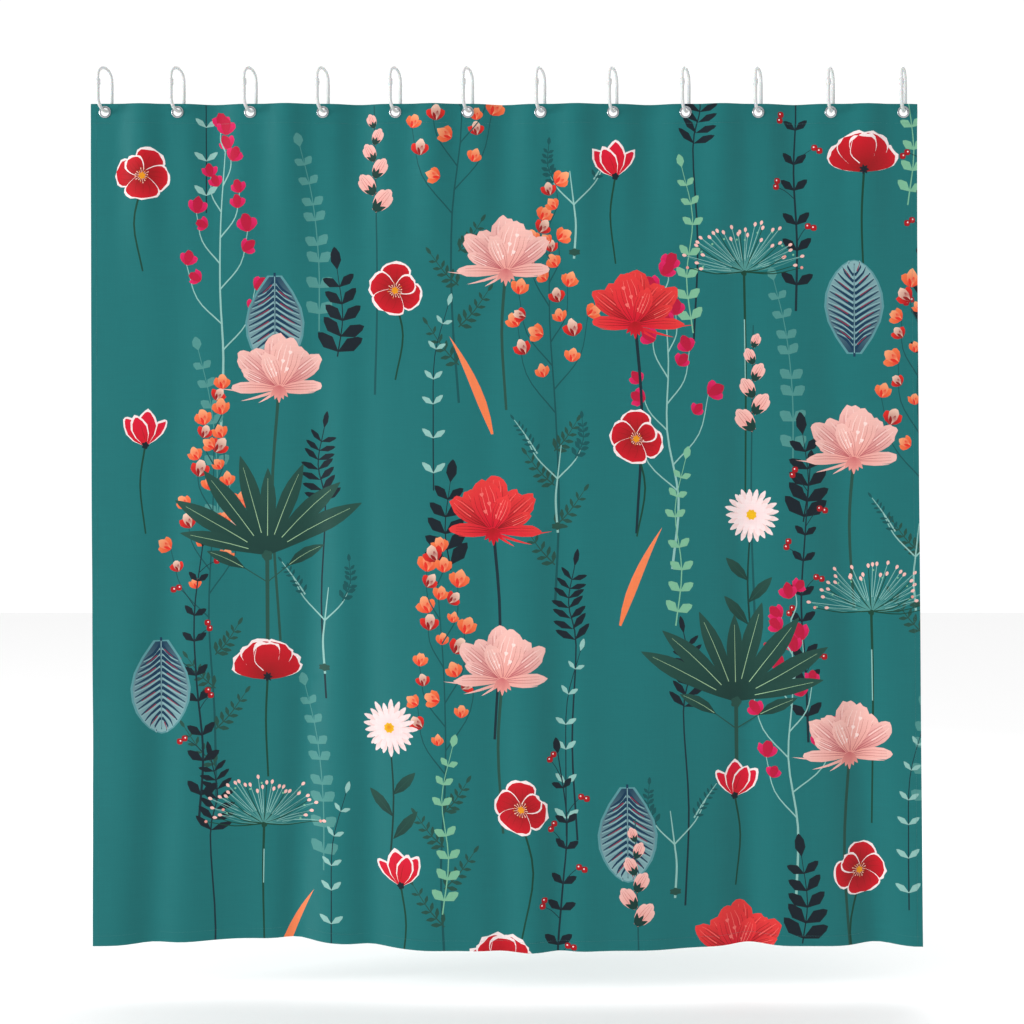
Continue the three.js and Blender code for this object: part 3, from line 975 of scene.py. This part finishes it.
def first_hang():
    """The hung cloth as a grid of places, row by row from the header: [row, column, xyz]."""
    across = np.linspace(-0.5, 0.5, HANG_STEPS + 1) * HUNG_WIDTH
    down = np.linspace(0, 1, HANG_STEPS + 1) * CUT_DROP
    x, drop = np.meshgrid(across, down)
    y = depth(x, drop)
    z = HEADER_Z - drop + DRAWN_UP * y * drop / CUT_DROP
    flare = FLARE * (0.5 + x / HUNG_WIDTH) * (drop / CUT_DROP) ** FLARE_GROWTH
    return np.stack([x + flare, y, z], axis=2)


def weights(t):
    """How much each of four neighbours counts, a share t past the second, and its slope."""
    value = np.array([
        (-t + 2 * t**2 - t**3) / 2,
        (2 - 5 * t**2 + 3 * t**3) / 2,
        (t + 4 * t**2 - 3 * t**3) / 2,
        (t**3 - t**2) / 2,
    ])
    slope = np.array([
        (-1 + 4 * t - 3 * t**2) / 2,
        (-10 * t + 9 * t**2) / 2,
        (1 + 8 * t - 9 * t**2) / 2,
        (3 * t**2 - 2 * t) / 2,
    ])
    return value, slope


def hang(points):
    """Where points of the flat cloth hang, and the way that its printed side faces there."""
    u = np.clip((points.real / CUT_WIDTH + 0.5) * HANG_STEPS, 0, HANG_STEPS)
    v = np.clip(-points.imag / CUT_DROP * HANG_STEPS, 0, HANG_STEPS)
    i = np.minimum(u.astype(int), HANG_STEPS - 1)
    j = np.minimum(v.astype(int), HANG_STEPS - 1)
    (wu, su), (wv, sv) = weights(u - i), weights(v - j)
    place, across, down = (np.zeros((len(points), 3)) for _ in range(3))
    for a in range(4):
        for b in range(4):
            near = HUNG[j + b, i + a]
            place += (wu[a] * wv[b])[:, None] * near
            across += (su[a] * wv[b])[:, None] * near
            down += (wu[a] * sv[b])[:, None] * near
    facing = np.cross(down, across)
    return place, facing / np.linalg.norm(facing, axis=1)[:, None]


def with_border(grid):
    """The grid with one more line of places past each edge, carried on straight."""
    return np.pad(grid, ((1, 1), (1, 1), (0, 0)), mode="reflect", reflect_type="odd")


# ---- letting it settle under its own weight ----
SETTLE_FRAMES = 40
HELD_ACROSS = 0.013  # the cloth is held this far to each side of an eyelet's middle
HELD_DOWN = 0.020


def grid_object(grid):
    """The hung grid as a mesh object, with each vertex's row and column."""
    count = HANG_STEPS + 1
    bm = bmesh.new()
    bmesh.ops.create_grid(bm, x_segments=HANG_STEPS, y_segments=HANG_STEPS, size=0.5)
    mesh = bpy.data.meshes.new("settling")
    bm.to_mesh(mesh)
    bm.free()
    places = np.empty(count * count * 3)
    mesh.vertices.foreach_get("co", places)
    places = places.reshape(-1, 3)
    column = np.rint((places[:, 0] + 0.5) * HANG_STEPS).astype(int)
    row = np.rint((0.5 - places[:, 1]) * HANG_STEPS).astype(int)
    mesh.vertices.foreach_set("co", grid[row, column].ravel())
    return object_from(mesh, "settling"), row, column


def cloth_weight(modifier):
    """Light, limp polyester that has been damped so that it comes to rest quickly."""
    cloth = modifier.settings
    cloth.quality = 6
    cloth.mass = 0.03
    cloth.air_damping = 4.0
    cloth.tension_stiffness = cloth.compression_stiffness = 25
    cloth.shear_stiffness = 8
    cloth.bending_stiffness = 0.6
    cloth.tension_damping = cloth.compression_damping = cloth.shear_damping = 25
    cloth.bending_damping = 2
    modifier.point_cache.frame_start = 1
    modifier.point_cache.frame_end = SETTLE_FRAMES


def settle(grid):
    """Lets the sheet, cut flat and held at its eyelets, hang from the folds that it starts with."""
    sheet, row, column = grid_object(grid)
    sheet.shape_key_add(name="folded", from_mix=False)
    flat = sheet.shape_key_add(name="flat", from_mix=False)
    x = (column / HANG_STEPS - 0.5) * CUT_WIDTH
    z = HEADER_Z - row / HANG_STEPS * CUT_DROP
    flat.data.foreach_set("co", np.stack([x, 0 * x, z], axis=1).ravel())
    start = grid[row, column]
    nearest = np.abs(start[:, :1] - np.array(EYELET_X)).min(1)
    held = (nearest < HELD_ACROSS) & (np.abs(start[:, 2] - EYELET_Z) < HELD_DOWN)
    group = sheet.vertex_groups.new(name="held")
    group.add(np.flatnonzero(held).tolist(), 1.0, "REPLACE")
    modifier = sheet.modifiers.new("hang", "CLOTH")
    cloth_weight(modifier)
    modifier.settings.vertex_group_mass = "held"
    modifier.settings.rest_shape_key = flat
    for number in range(1, SETTLE_FRAMES + 1):
        bpy.context.scene.frame_set(number)
    settled = sheet.evaluated_get(bpy.context.evaluated_depsgraph_get()).data
    places = np.empty(len(settled.vertices) * 3)
    settled.vertices.foreach_get("co", places)
    bpy.context.scene.frame_set(1)
    mesh = sheet.data
    bpy.data.objects.remove(sheet)
    bpy.data.meshes.remove(mesh)
    result = np.empty_like(grid)
    result[row, column] = places.reshape(-1, 3)
    return result


# ---- what is kept of the settling ----
SETTLED_SHARE = 0.4  # the long folds are pressed in, so they open only this far
SMOOTH_ACROSS, SMOOTH_DOWN = 6, 30  # passes that take out wrinkles smaller than a fold
FREE_FROM = 0.022  # the cloth may move beyond this distance from an eyelet's middle


def smoothed(moves, passes, axis):
    """Each place's move averaged with its neighbours' along one axis."""
    ends = [(0, 0)] * 3
    ends[axis] = (1, 1)
    for _ in range(passes):
        wide = np.pad(moves, ends, mode="edge")
        before, here, after = (np.take(wide, range(k, k + moves.shape[axis]), axis) for k in range(3))
        moves = (before + 2 * here + after) / 4
    return moves


def part_settled(start, settled):
    """The first hang, moved some of the way to where the cloth settles, without small wrinkles."""
    moves = smoothed(smoothed(settled - start, SMOOTH_ACROSS, 1), SMOOTH_DOWN, 0)
    beside = np.abs(start[:, :, :1] - np.array(EYELET_X)).min(2)
    away = np.hypot(beside, start[:, :, 2] - EYELET_Z)
    free = np.clip(away / FREE_FROM - 1, 0, 1)[:, :, None]
    return start + SETTLED_SHARE * free * moves


FIRST = first_hang()
HUNG = with_border(part_settled(FIRST, settle(FIRST)))


# ---- the cloth's pieces ----
TEAL = colour("247071")
WASHED = colour("5d9796")  # the unprinted side
SHOW_THROUGH = 0.3
SATIN, LIT = 0.012, 1.13  # the satin's own gloss, and how brightly the studio lights a dye
DARKEST = 0.002  # no dye is darker than this
THREAD_LIFT = 0.00005  # a stitch's middle stands this far out from the cloth's surface
TO_FLAT = CUT_WIDTH / HUNG_WIDTH  # from a place along the hung header to one on the flat cloth
CUT_HOLE_R = BARREL_R + 0.0003
HEM_GAP = 0.0003  # between a side hem and the end of another hem


def inks_of(points, triangles, top, shapes):
    """The colour at each corner of each triangle."""
    inks = np.tile(np.array(TEAL), (len(triangles), 3, 1))
    printed = np.flatnonzero(top >= 0)
    if len(printed):
        near, far, foot, reach = (
            np.array([shapes[k][part] for k in top[printed]]) for part in (1, 2, 3, 4)
        )
        share = np.clip(abs(points[triangles[printed]] - foot[:, None]) / reach[:, None], 0, 1)
        inks[printed] = near[:, None] + (far - near)[:, None] * share[:, :, None]
    return np.clip((inks - SATIN) / LIT, DARKEST, 1.0)


def layer(name, points, triangles, inks, set_back=0.0):
    """A closed layer of cloth, hung, with its printed side to the front."""
    place, facing = hang(points)
    place = place - facing * set_back
    count = len(points)
    sides = np.concatenate([triangles[:, [0, 1]], triangles[:, [1, 2]], triangles[:, [2, 0]]])
    both = {tuple(s) for s in sides.tolist()}
    rim = sorted((a, b) for a, b in both if (b, a) not in both)
    faces = triangles.tolist() + (triangles[:, ::-1] + count).tolist()
    faces += [(b, a, a + count, b + count) for a, b in rim]
    mesh = bpy.data.meshes.new(name)
    half = facing * CLOTH / 2
    mesh.from_pydata(np.concatenate([place + half, place - half]).tolist(), [], faces)

    flat = np.stack([points.real, points.imag], axis=1)
    corners = np.array([c % count for face in faces for c in face])
    uv = mesh.uv_layers.new(name="cloth")
    uv.data.foreach_set("uv", flat[corners].ravel())
    back = np.array(WASHED) * (1 - SHOW_THROUGH) + inks[:, ::-1] * SHOW_THROUGH
    edge = np.tile(np.array(TEAL), (4 * len(rim), 1))
    tints = np.concatenate([inks.reshape(-1, 3), back.reshape(-1, 3), edge])
    tints = np.concatenate([tints, np.ones((len(tints), 1))], axis=1)
    mesh.color_attributes.new("ink", "FLOAT_COLOR", "CORNER").data.foreach_set("color", tints.ravel())

    smooth = [True] * (2 * len(triangles)) + [False] * len(rim)
    mesh.polygons.foreach_set("use_smooth", smooth)
    front = facing[triangles.ravel()]
    behind = -facing[triangles[:, ::-1].ravel()]
    none = np.zeros((4 * len(rim), 3))
    mesh.normals_split_custom_set(np.concatenate([front, behind, none]).tolist())
    mesh.materials.append(PRINTED)
    mesh.validate()
    return object_from(mesh, name)


def hole_places():
    return [complex(x * TO_FLAT, EYELET_Z - HEADER_Z) for x in EYELET_X]


def printed_cloth():
    shapes = botanical_print()
    points, triangles, top = cut_cloth(shapes, hole_places(), CUT_HOLE_R)
    return layer("curtain_cloth", points, triangles, inks_of(points, triangles, top, shapes))


def strip_of_cloth(name, left, right, upper, lower, holes=()):
    """A layer turned back behind the cloth, between two flat distances each way."""
    step = CUT_WIDTH / HANG_STEPS
    columns = max(2, round((right - left) / step))
    rows = max(2, round((upper - lower) / step))
    xs = np.linspace(left, right, columns + 1)
    ys = np.linspace(lower, upper, rows + 1)
    rim = [complex(x, lower) for x in xs[:-1]] + [complex(right, y) for y in ys[:-1]]
    rim += [complex(x, upper) for x in xs[:0:-1]] + [complex(left, y) for y in ys[:0:-1]]
    inner = [complex(x, y) for x in xs[1:-1] for y in ys[1:-1]]
    rings = [round_hole(h, CUT_HOLE_R) for h in holes]
    points, triangles = triangulate([np.array(rim)] + rings, [], inner)
    middles = points[triangles].mean(1)
    if rings:
        triangles = triangles[uppermost(rings, middles) < 0]
    used, triangles = np.unique(triangles, return_inverse=True)
    points, triangles = points[used], triangles.reshape(-1, 3)
    bare = inks_of(points, triangles, np.full(len(triangles), -1), [])
    return layer(name, points, triangles, bare, HEM_STEP)


def hems():
    half, bottom = CUT_WIDTH / 2, -CUT_DROP
    inner = half - SIDE_HEM - HEM_GAP
    return {
        "header_hem": strip_of_cloth("header_hem_cloth", -inner, inner, 0.0, -HEADER_HEM, hole_places()),
        "bottom_hem": strip_of_cloth("bottom_hem_cloth", -inner, inner, bottom + BOTTOM_HEM, bottom),
        "left_hem": strip_of_cloth("left_hem_cloth", -half, -half + SIDE_HEM, 0.0, bottom),
        "right_hem": strip_of_cloth("right_hem_cloth", half - SIDE_HEM, half, 0.0, bottom),
    }


STITCH_PITCH = 0.0036
STITCH_SIZE = (0.00145, 0.00028, 0.00022)  # half length, half width and half height
SEAM_INSET = 0.003  # from a hem's inner edge to its seam


def seam_lines():
    half, bottom = CUT_WIDTH / 2, -CUT_DROP
    side = half - SIDE_HEM + SEAM_INSET
    header, foot = -HEADER_HEM + SEAM_INSET, bottom + BOTTOM_HEM - SEAM_INSET
    return [
        (complex(-half, header), complex(half, header)),
        (complex(-half, foot), complex(half, foot)),
        (complex(-side, 0), complex(-side, bottom)),
        (complex(side, 0), complex(side, bottom)),
    ]


def stitches(name, out_from_middle):
    """Every seam's stitches on one side of the cloth, this far out from its middle."""
    ball = bmesh.new()
    bmesh.ops.create_uvsphere(ball, u_segments=6, v_segments=4, radius=1.0)
    bmesh.ops.rotate(ball, verts=ball.verts, matrix=Matrix.Rotation(math.pi / 2, 3, "Y"))
    shape = np.array([v.co[:] for v in ball.verts]) * STITCH_SIZE
    ball.verts.index_update()
    facets = [[v.index for v in f.verts] for f in ball.faces]
    ball.free()
    corners, faces = [], []
    for start, end in seam_lines():
        count = int(abs(end - start) / STITCH_PITCH)
        along = start + (end - start) * (np.arange(count) + 0.5) / count
        place, facing = hang(along)
        ahead, _ = hang(along + (end - start) / abs(end - start) * STITCH_PITCH / 2)
        run = ahead - place
        run /= np.linalg.norm(run, axis=1)[:, None]
        side = np.cross(facing, run)
        for p, n, r, s in zip(place, facing, run, side):
            first = sum(len(c) for c in corners)
            corners.append(p + n * out_from_middle + shape @ np.array([r, s, n]))
            faces += [[first + c for c in facet] for facet in facets]
    mesh = bpy.data.meshes.new(name)
    mesh.from_pydata(np.concatenate(corners).tolist(), [], faces)
    mesh.polygons.foreach_set("use_smooth", [True] * len(faces))
    mesh.materials.append(THREAD)
    return object_from(mesh, name)


def hang_the_cloth():
    """All that is cloth or thread. It closes up towards the first eyelet as it is drawn."""
    cloth = printed_cloth()
    turned = hems()
    threads = [
        stitches("front_stitches", CLOTH / 2 + THREAD_LIFT),
        stitches("back_stitches", -(HEM_STEP + CLOTH / 2 + THREAD_LIFT)),
    ]
    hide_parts("curtain_panel")
    for node, piece in turned.items():
        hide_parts(node)
    for piece in [cloth, *turned.values(), *threads]:
        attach(piece, "curtain")
        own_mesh(piece)


hang_the_cloth()


# ---- eyelets, washers and hooks ----
SPIN_STEPS = 56
FLANGE_RISE = 0.0016  # how high the rolled flange is, in front of the cloth
LIP_ROLL, LIP_Y = 0.0009, 0.0029  # the barrel's rolled lip behind: its radius, and where it is
THROAT_ROLL, THROAT_Y = 0.0008, 0.0026  # the bend from the barrel into its lip
WASHER_Y, WASHER_THICK = 0.00150, 0.00072
WASHER_ROUND = 0.00036  # radius of the washer's rounded rim


def spun(profile, name, material):
    """A ring spun about the Y axis from a closed profile of (radius, y)."""
    bm = bmesh.new()
    corners = [bm.verts.new((r, y, 0)) for r, y in profile]
    edges = [bm.edges.new((a, b)) for a, b in zip(corners, corners[1:] + corners[:1])]
    bmesh.ops.spin(
        bm, geom=corners + edges, cent=(0, 0, 0), axis=(0, 1, 0), angle=2 * math.pi,
        steps=SPIN_STEPS, use_merge=True,
    )
    bmesh.ops.remove_doubles(bm, verts=bm.verts, dist=1e-7)
    bmesh.ops.recalc_face_normals(bm, faces=bm.faces)
    return piece_from(bm, name, material)


def bend(centre, radius, start, end, steps):
    """Points on an arc of the profile, in degrees from its radius axis."""
    cr, cy = centre
    return [
        (cr + radius * math.cos(math.radians(a)), cy + radius * math.sin(math.radians(a)))
        for a in np.linspace(start, end, steps)
    ]


def eyelet_profile():
    """Flange rolled over the front, a barrel through the cloth and a lip rolled over behind."""
    front = -(CLOTH / 2 + 0.0003)
    roll = (FLANGE_R - BORE_R) / 2
    flange = [
        (BORE_R + roll + roll * math.cos(a), front - 0.0001 - FLANGE_RISE * math.sin(a))
        for a in np.linspace(0, math.pi, 13)
    ]
    throat = bend((BORE_R + THROAT_ROLL, THROAT_Y), THROAT_ROLL, 180, 100, 5)[1:]
    lip = bend((BARREL_R + LIP_ROLL, LIP_Y), LIP_ROLL, 100, -80, 7)
    barrel = [(BARREL_R, LIP_Y - 0.0010), (BARREL_R, front), (FLANGE_R - 0.0006, front)]
    return [*flange, (BORE_R, 0.0), (BORE_R, THROAT_Y), *throat, *lip, *barrel]


def washer_profile():
    """A thin ring, dished a little and rounded at its rim."""
    inner, rim = BARREL_R + 0.00035, FLANGE_R - 0.0003
    far = WASHER_Y + WASHER_THICK
    edge = bend((rim - WASHER_ROUND, WASHER_Y + WASHER_ROUND), WASHER_ROUND, -90, 90, 6)
    start = [(inner, WASHER_Y + 0.0001), (rim - 0.0004, WASHER_Y)]
    return [*start, *edge, (inner + 0.001, far + 0.0002), (inner, far)]


def set_eyelets():
    ring = spun(eyelet_profile(), "eyelet_master", NICKEL)
    plate = spun(washer_profile(), "washer_master", NICKEL)
    for n, i in enumerate(NUMBERS):
        at = Vector((EYELET_X[n], 0, EYELET_Z))
        for master, name, node in ((ring, "eyelet_ring", "eyelet"), (plate, "eyelet_washer", "washer")):
            mesh = master.data.copy()
            mesh.transform(Matrix.Translation(at))
            piece = object_from(mesh, f"{name}_{i}")
            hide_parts(f"{node}_{i}")
            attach(piece, body_of_piece(n))
    for master in (ring, plate):
        bpy.data.objects.remove(master)


# ---- the hooks ----
CROWN_R = RAIL_R + RAIL_CLEARANCE + WIRE_R
LEG_Y = CROWN_R / math.cos(HOOK_YAW)
CROWN_Z = -RAIL_CLEARANCE
HOOK_PLAY = 0.0032  # from the wire up to the top of the eyelet's hole
BEND_Z = EYELET_Z + BORE_R - HOOK_PLAY - WIRE_R
SOCKET_Z = -0.006
SOCKET_R = 0.0055
SOCKET_LENGTH = 0.018
TONGUE_REACH = 0.005
LEG_SHARE = 1.16  # the legs are this much stouter than the bend that the eyelet hangs in
CROWN_SHARE = 0.9  # the crown thins to this towards the tongue


def hook_line():
    """The wire's line in the plane x = 0: (y, z, share of its full radius)."""
    line = [
        (-LEG_Y, SOCKET_Z - TONGUE_REACH, 0.72),
        (-LEG_Y, SOCKET_Z - 0.7 * TONGUE_REACH, 0.86),
        (-LEG_Y, SOCKET_Z - 0.2 * TONGUE_REACH, 0.8),
        (-LEG_Y, SOCKET_Z + 0.0012, 0.82),
    ]
    for a in np.linspace(180, 0, 33):
        turn = math.radians(a)
        share = CROWN_SHARE + (1 - CROWN_SHARE) * (1 - a / 180)
        line.append((LEG_Y * math.cos(turn), CROWN_Z + CROWN_R * math.sin(turn), share))
    centre = BEND_Z + LEG_Y
    for z in np.linspace(CROWN_Z, centre, 6)[1:-1]:
        line.append((LEG_Y, z, LEG_SHARE))
    for a in np.linspace(0, -180, 33):
        turn = math.radians(a)
        share = 1.0 + (LEG_SHARE - 1.0) * math.cos(turn) ** 2
        line.append((LEG_Y * math.cos(turn), centre + LEG_Y * math.sin(turn), share))
    line.append((-LEG_Y, SOCKET_Z - SOCKET_LENGTH + WIRE_R, LEG_SHARE))
    return line


def hook_wire():
    curve = bpy.data.curves.new("hook_wire", "CURVE")
    curve.dimensions = "3D"
    curve.bevel_depth = WIRE_R
    curve.bevel_resolution = 4
    curve.use_fill_caps = True
    line = hook_line()
    spline = curve.splines.new("POLY")
    spline.points.add(len(line) - 1)
    for point, (y, z, share) in zip(spline.points, line):
        point.co = (0, y, z, 1)
        point.radius = share
    wire = bpy.data.objects.new("hook_wire", curve)
    bpy.context.scene.collection.objects.link(wire)
    mesh = bpy.data.meshes.new_from_object(wire)
    bpy.data.objects.remove(wire)
    return mesh


def socket_profile():
    """Half the section of the snap socket, from the middle of its foot round to its pocket."""
    r, length, pocket = SOCKET_R, SOCKET_LENGTH, WIRE_R + 0.0004
    foot = [(0.0, -length), (0.6 * WIRE_R, -length + 0.0002), (0.9 * WIRE_R, -length + 0.0010)]
    wall = [(0.94 * r, -0.66 * length), (r, -0.58 * length), (r, -0.12 * length)]
    mouth = [(0.97 * r, -0.05 * length), (0.88 * r, -0.0001), (0.8 * r, 0.0), (pocket + 0.0003, -0.0001)]
    floor = -TONGUE_REACH - 0.0005
    inside = [(pocket, -0.0006), (pocket, -TONGUE_REACH), (0.7 * pocket, floor), (0.0, floor)]
    return [*foot, *wall, *mouth, *inside]


def make_hook():
    """The wire, its socket and the collar under it, as one moulding in the plane x = 0."""
    bm = bmesh.new()
    bm.from_mesh(hook_wire())
    bmesh.ops.recalc_face_normals(bm, faces=bm.faces)
    socket = bmesh.new()
    corners = [socket.verts.new((r, 0, z)) for r, z in socket_profile()]
    edges = [socket.edges.new(pair) for pair in zip(corners, corners[1:])]
    bmesh.ops.spin(
        socket, geom=corners + edges, cent=(0, 0, 0), axis=(0, 0, 1), angle=2 * math.pi, steps=28,
        use_merge=True,
    )
    bmesh.ops.remove_doubles(socket, verts=socket.verts, dist=1e-7)
    bmesh.ops.recalc_face_normals(socket, faces=socket.faces)
    bmesh.ops.translate(socket, verts=socket.verts, vec=(0, -LEG_Y, SOCKET_Z))
    spare = bpy.data.meshes.new("socket")
    socket.to_mesh(spare)
    socket.free()
    bm.from_mesh(spare)
    bmesh.ops.rotate(bm, verts=bm.verts, cent=(0, 0, 0), matrix=Matrix.Rotation(-HOOK_YAW, 3, "Z"))
    return piece_from(bm, "hook_master", PLASTIC)


def set_hooks():
    master = make_hook()
    for n, i in enumerate(NUMBERS):
        mesh = master.data.copy()
        mesh.transform(Matrix.Translation((EYELET_X[n], 0, 0)))
        piece = object_from(mesh, f"snap_hook_{i}")
        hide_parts(f"hook_{i}")
        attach(piece, f"hook_{i}")
    bpy.data.objects.remove(master)


set_eyelets()
set_hooks()


# ---- the studio ----
CAMERA_X = 0.017
CAMERA_Z = -0.940
CAMERA_DISTANCE = 3.7
VIEW_WIDTH = 2.22  # what the picture takes in, in the plane of the eyelets
SENSOR = 36.0
FLOOR_Z = PANEL_LOW[2] - 0.10
SURROUND, OVERHEAD = 0.36, 1.3  # the surround's light from the horizon, and from overhead
SEEN_WHITE = 1.05  # how bright the camera sees it
# Each lamp: its name, its place, what it is aimed at, its size and its power in watts.
LAMPS = (
    ("key", (-9.6, -3.4, 0.8), (0, 0, -0.9), (2.4, 4.0), 800),
    ("fill", (3.6, -4.6, -0.2), (0, 0, -0.9), (2.0, 2.4), 20),
    ("from_behind", (1.5, 3.0, 1.2), (0, 0, -0.6), (2.0, 2.0), 40),
)


def set_camera():
    data = bpy.data.cameras.new("camera")
    data.sensor_width = SENSOR
    data.lens = SENSOR * CAMERA_DISTANCE / VIEW_WIDTH
    camera = bpy.data.objects.new("camera", data)
    camera.location = (CAMERA_X, -CAMERA_DISTANCE, CAMERA_Z)
    camera.rotation_euler = (math.pi / 2, 0, 0)
    bpy.context.scene.collection.objects.link(camera)
    bpy.context.scene.camera = camera


def lay_floor():
    bm = bmesh.new()
    bmesh.ops.create_grid(bm, x_segments=1, y_segments=1, size=14.0)
    bmesh.ops.translate(bm, verts=bm.verts, vec=(0, 0, FLOOR_Z))
    paint = handled("pale_floor", (0.96, 0.96, 0.96), (0.94, 0.94, 0.94), 0.7, 0.8, 0.0001, 4.0)
    piece_from(bm, "floor", paint)


def soft_light(name, place, target, size, power):
    data = bpy.data.lights.new(name, "AREA")
    data.shape = "RECTANGLE"
    data.size, data.size_y = size
    data.energy = power
    light = bpy.data.objects.new(name, data)
    light.location = place
    aim = Vector(target) - Vector(place)
    light.rotation_euler = aim.to_track_quat("-Z", "Y").to_euler()
    bpy.context.scene.collection.objects.link(light)


def white_surround():
    """Soft light from all round, strongest overhead. The camera sees it as plain white."""
    world = bpy.data.worlds.new("surround")
    world.use_nodes = True
    bpy.context.scene.world = world
    tree = world.node_tree
    light = tree.nodes["Background"]
    light.inputs["Color"].default_value = (1, 1, 1, 1)
    toward = add(tree, "ShaderNodeTexCoord").outputs["Generated"]
    height = add(tree, "ShaderNodeSeparateXYZ", {0: toward}).outputs["Z"]
    ends = {"To Min": SURROUND, "To Max": OVERHEAD}
    level = add(tree, "ShaderNodeMapRange", {"Value": height, **ends})
    tree.links.new(level.outputs[0], light.inputs["Strength"])
    seen = add(tree, "ShaderNodeBackground", {"Color": (1, 1, 1, 1), "Strength": SEEN_WHITE})
    camera_ray = add(tree, "ShaderNodeLightPath").outputs["Is Camera Ray"]
    both = add(tree, "ShaderNodeMixShader", {0: camera_ray, 1: light.outputs[0], 2: seen.outputs[0]})
    tree.links.new(both.outputs[0], tree.nodes["World Output"].inputs["Surface"])


set_camera()
lay_floor()
white_surround()
for lamp in LAMPS:
    soft_light(*lamp)
bpy.context.scene.view_settings.view_transform = "Standard"
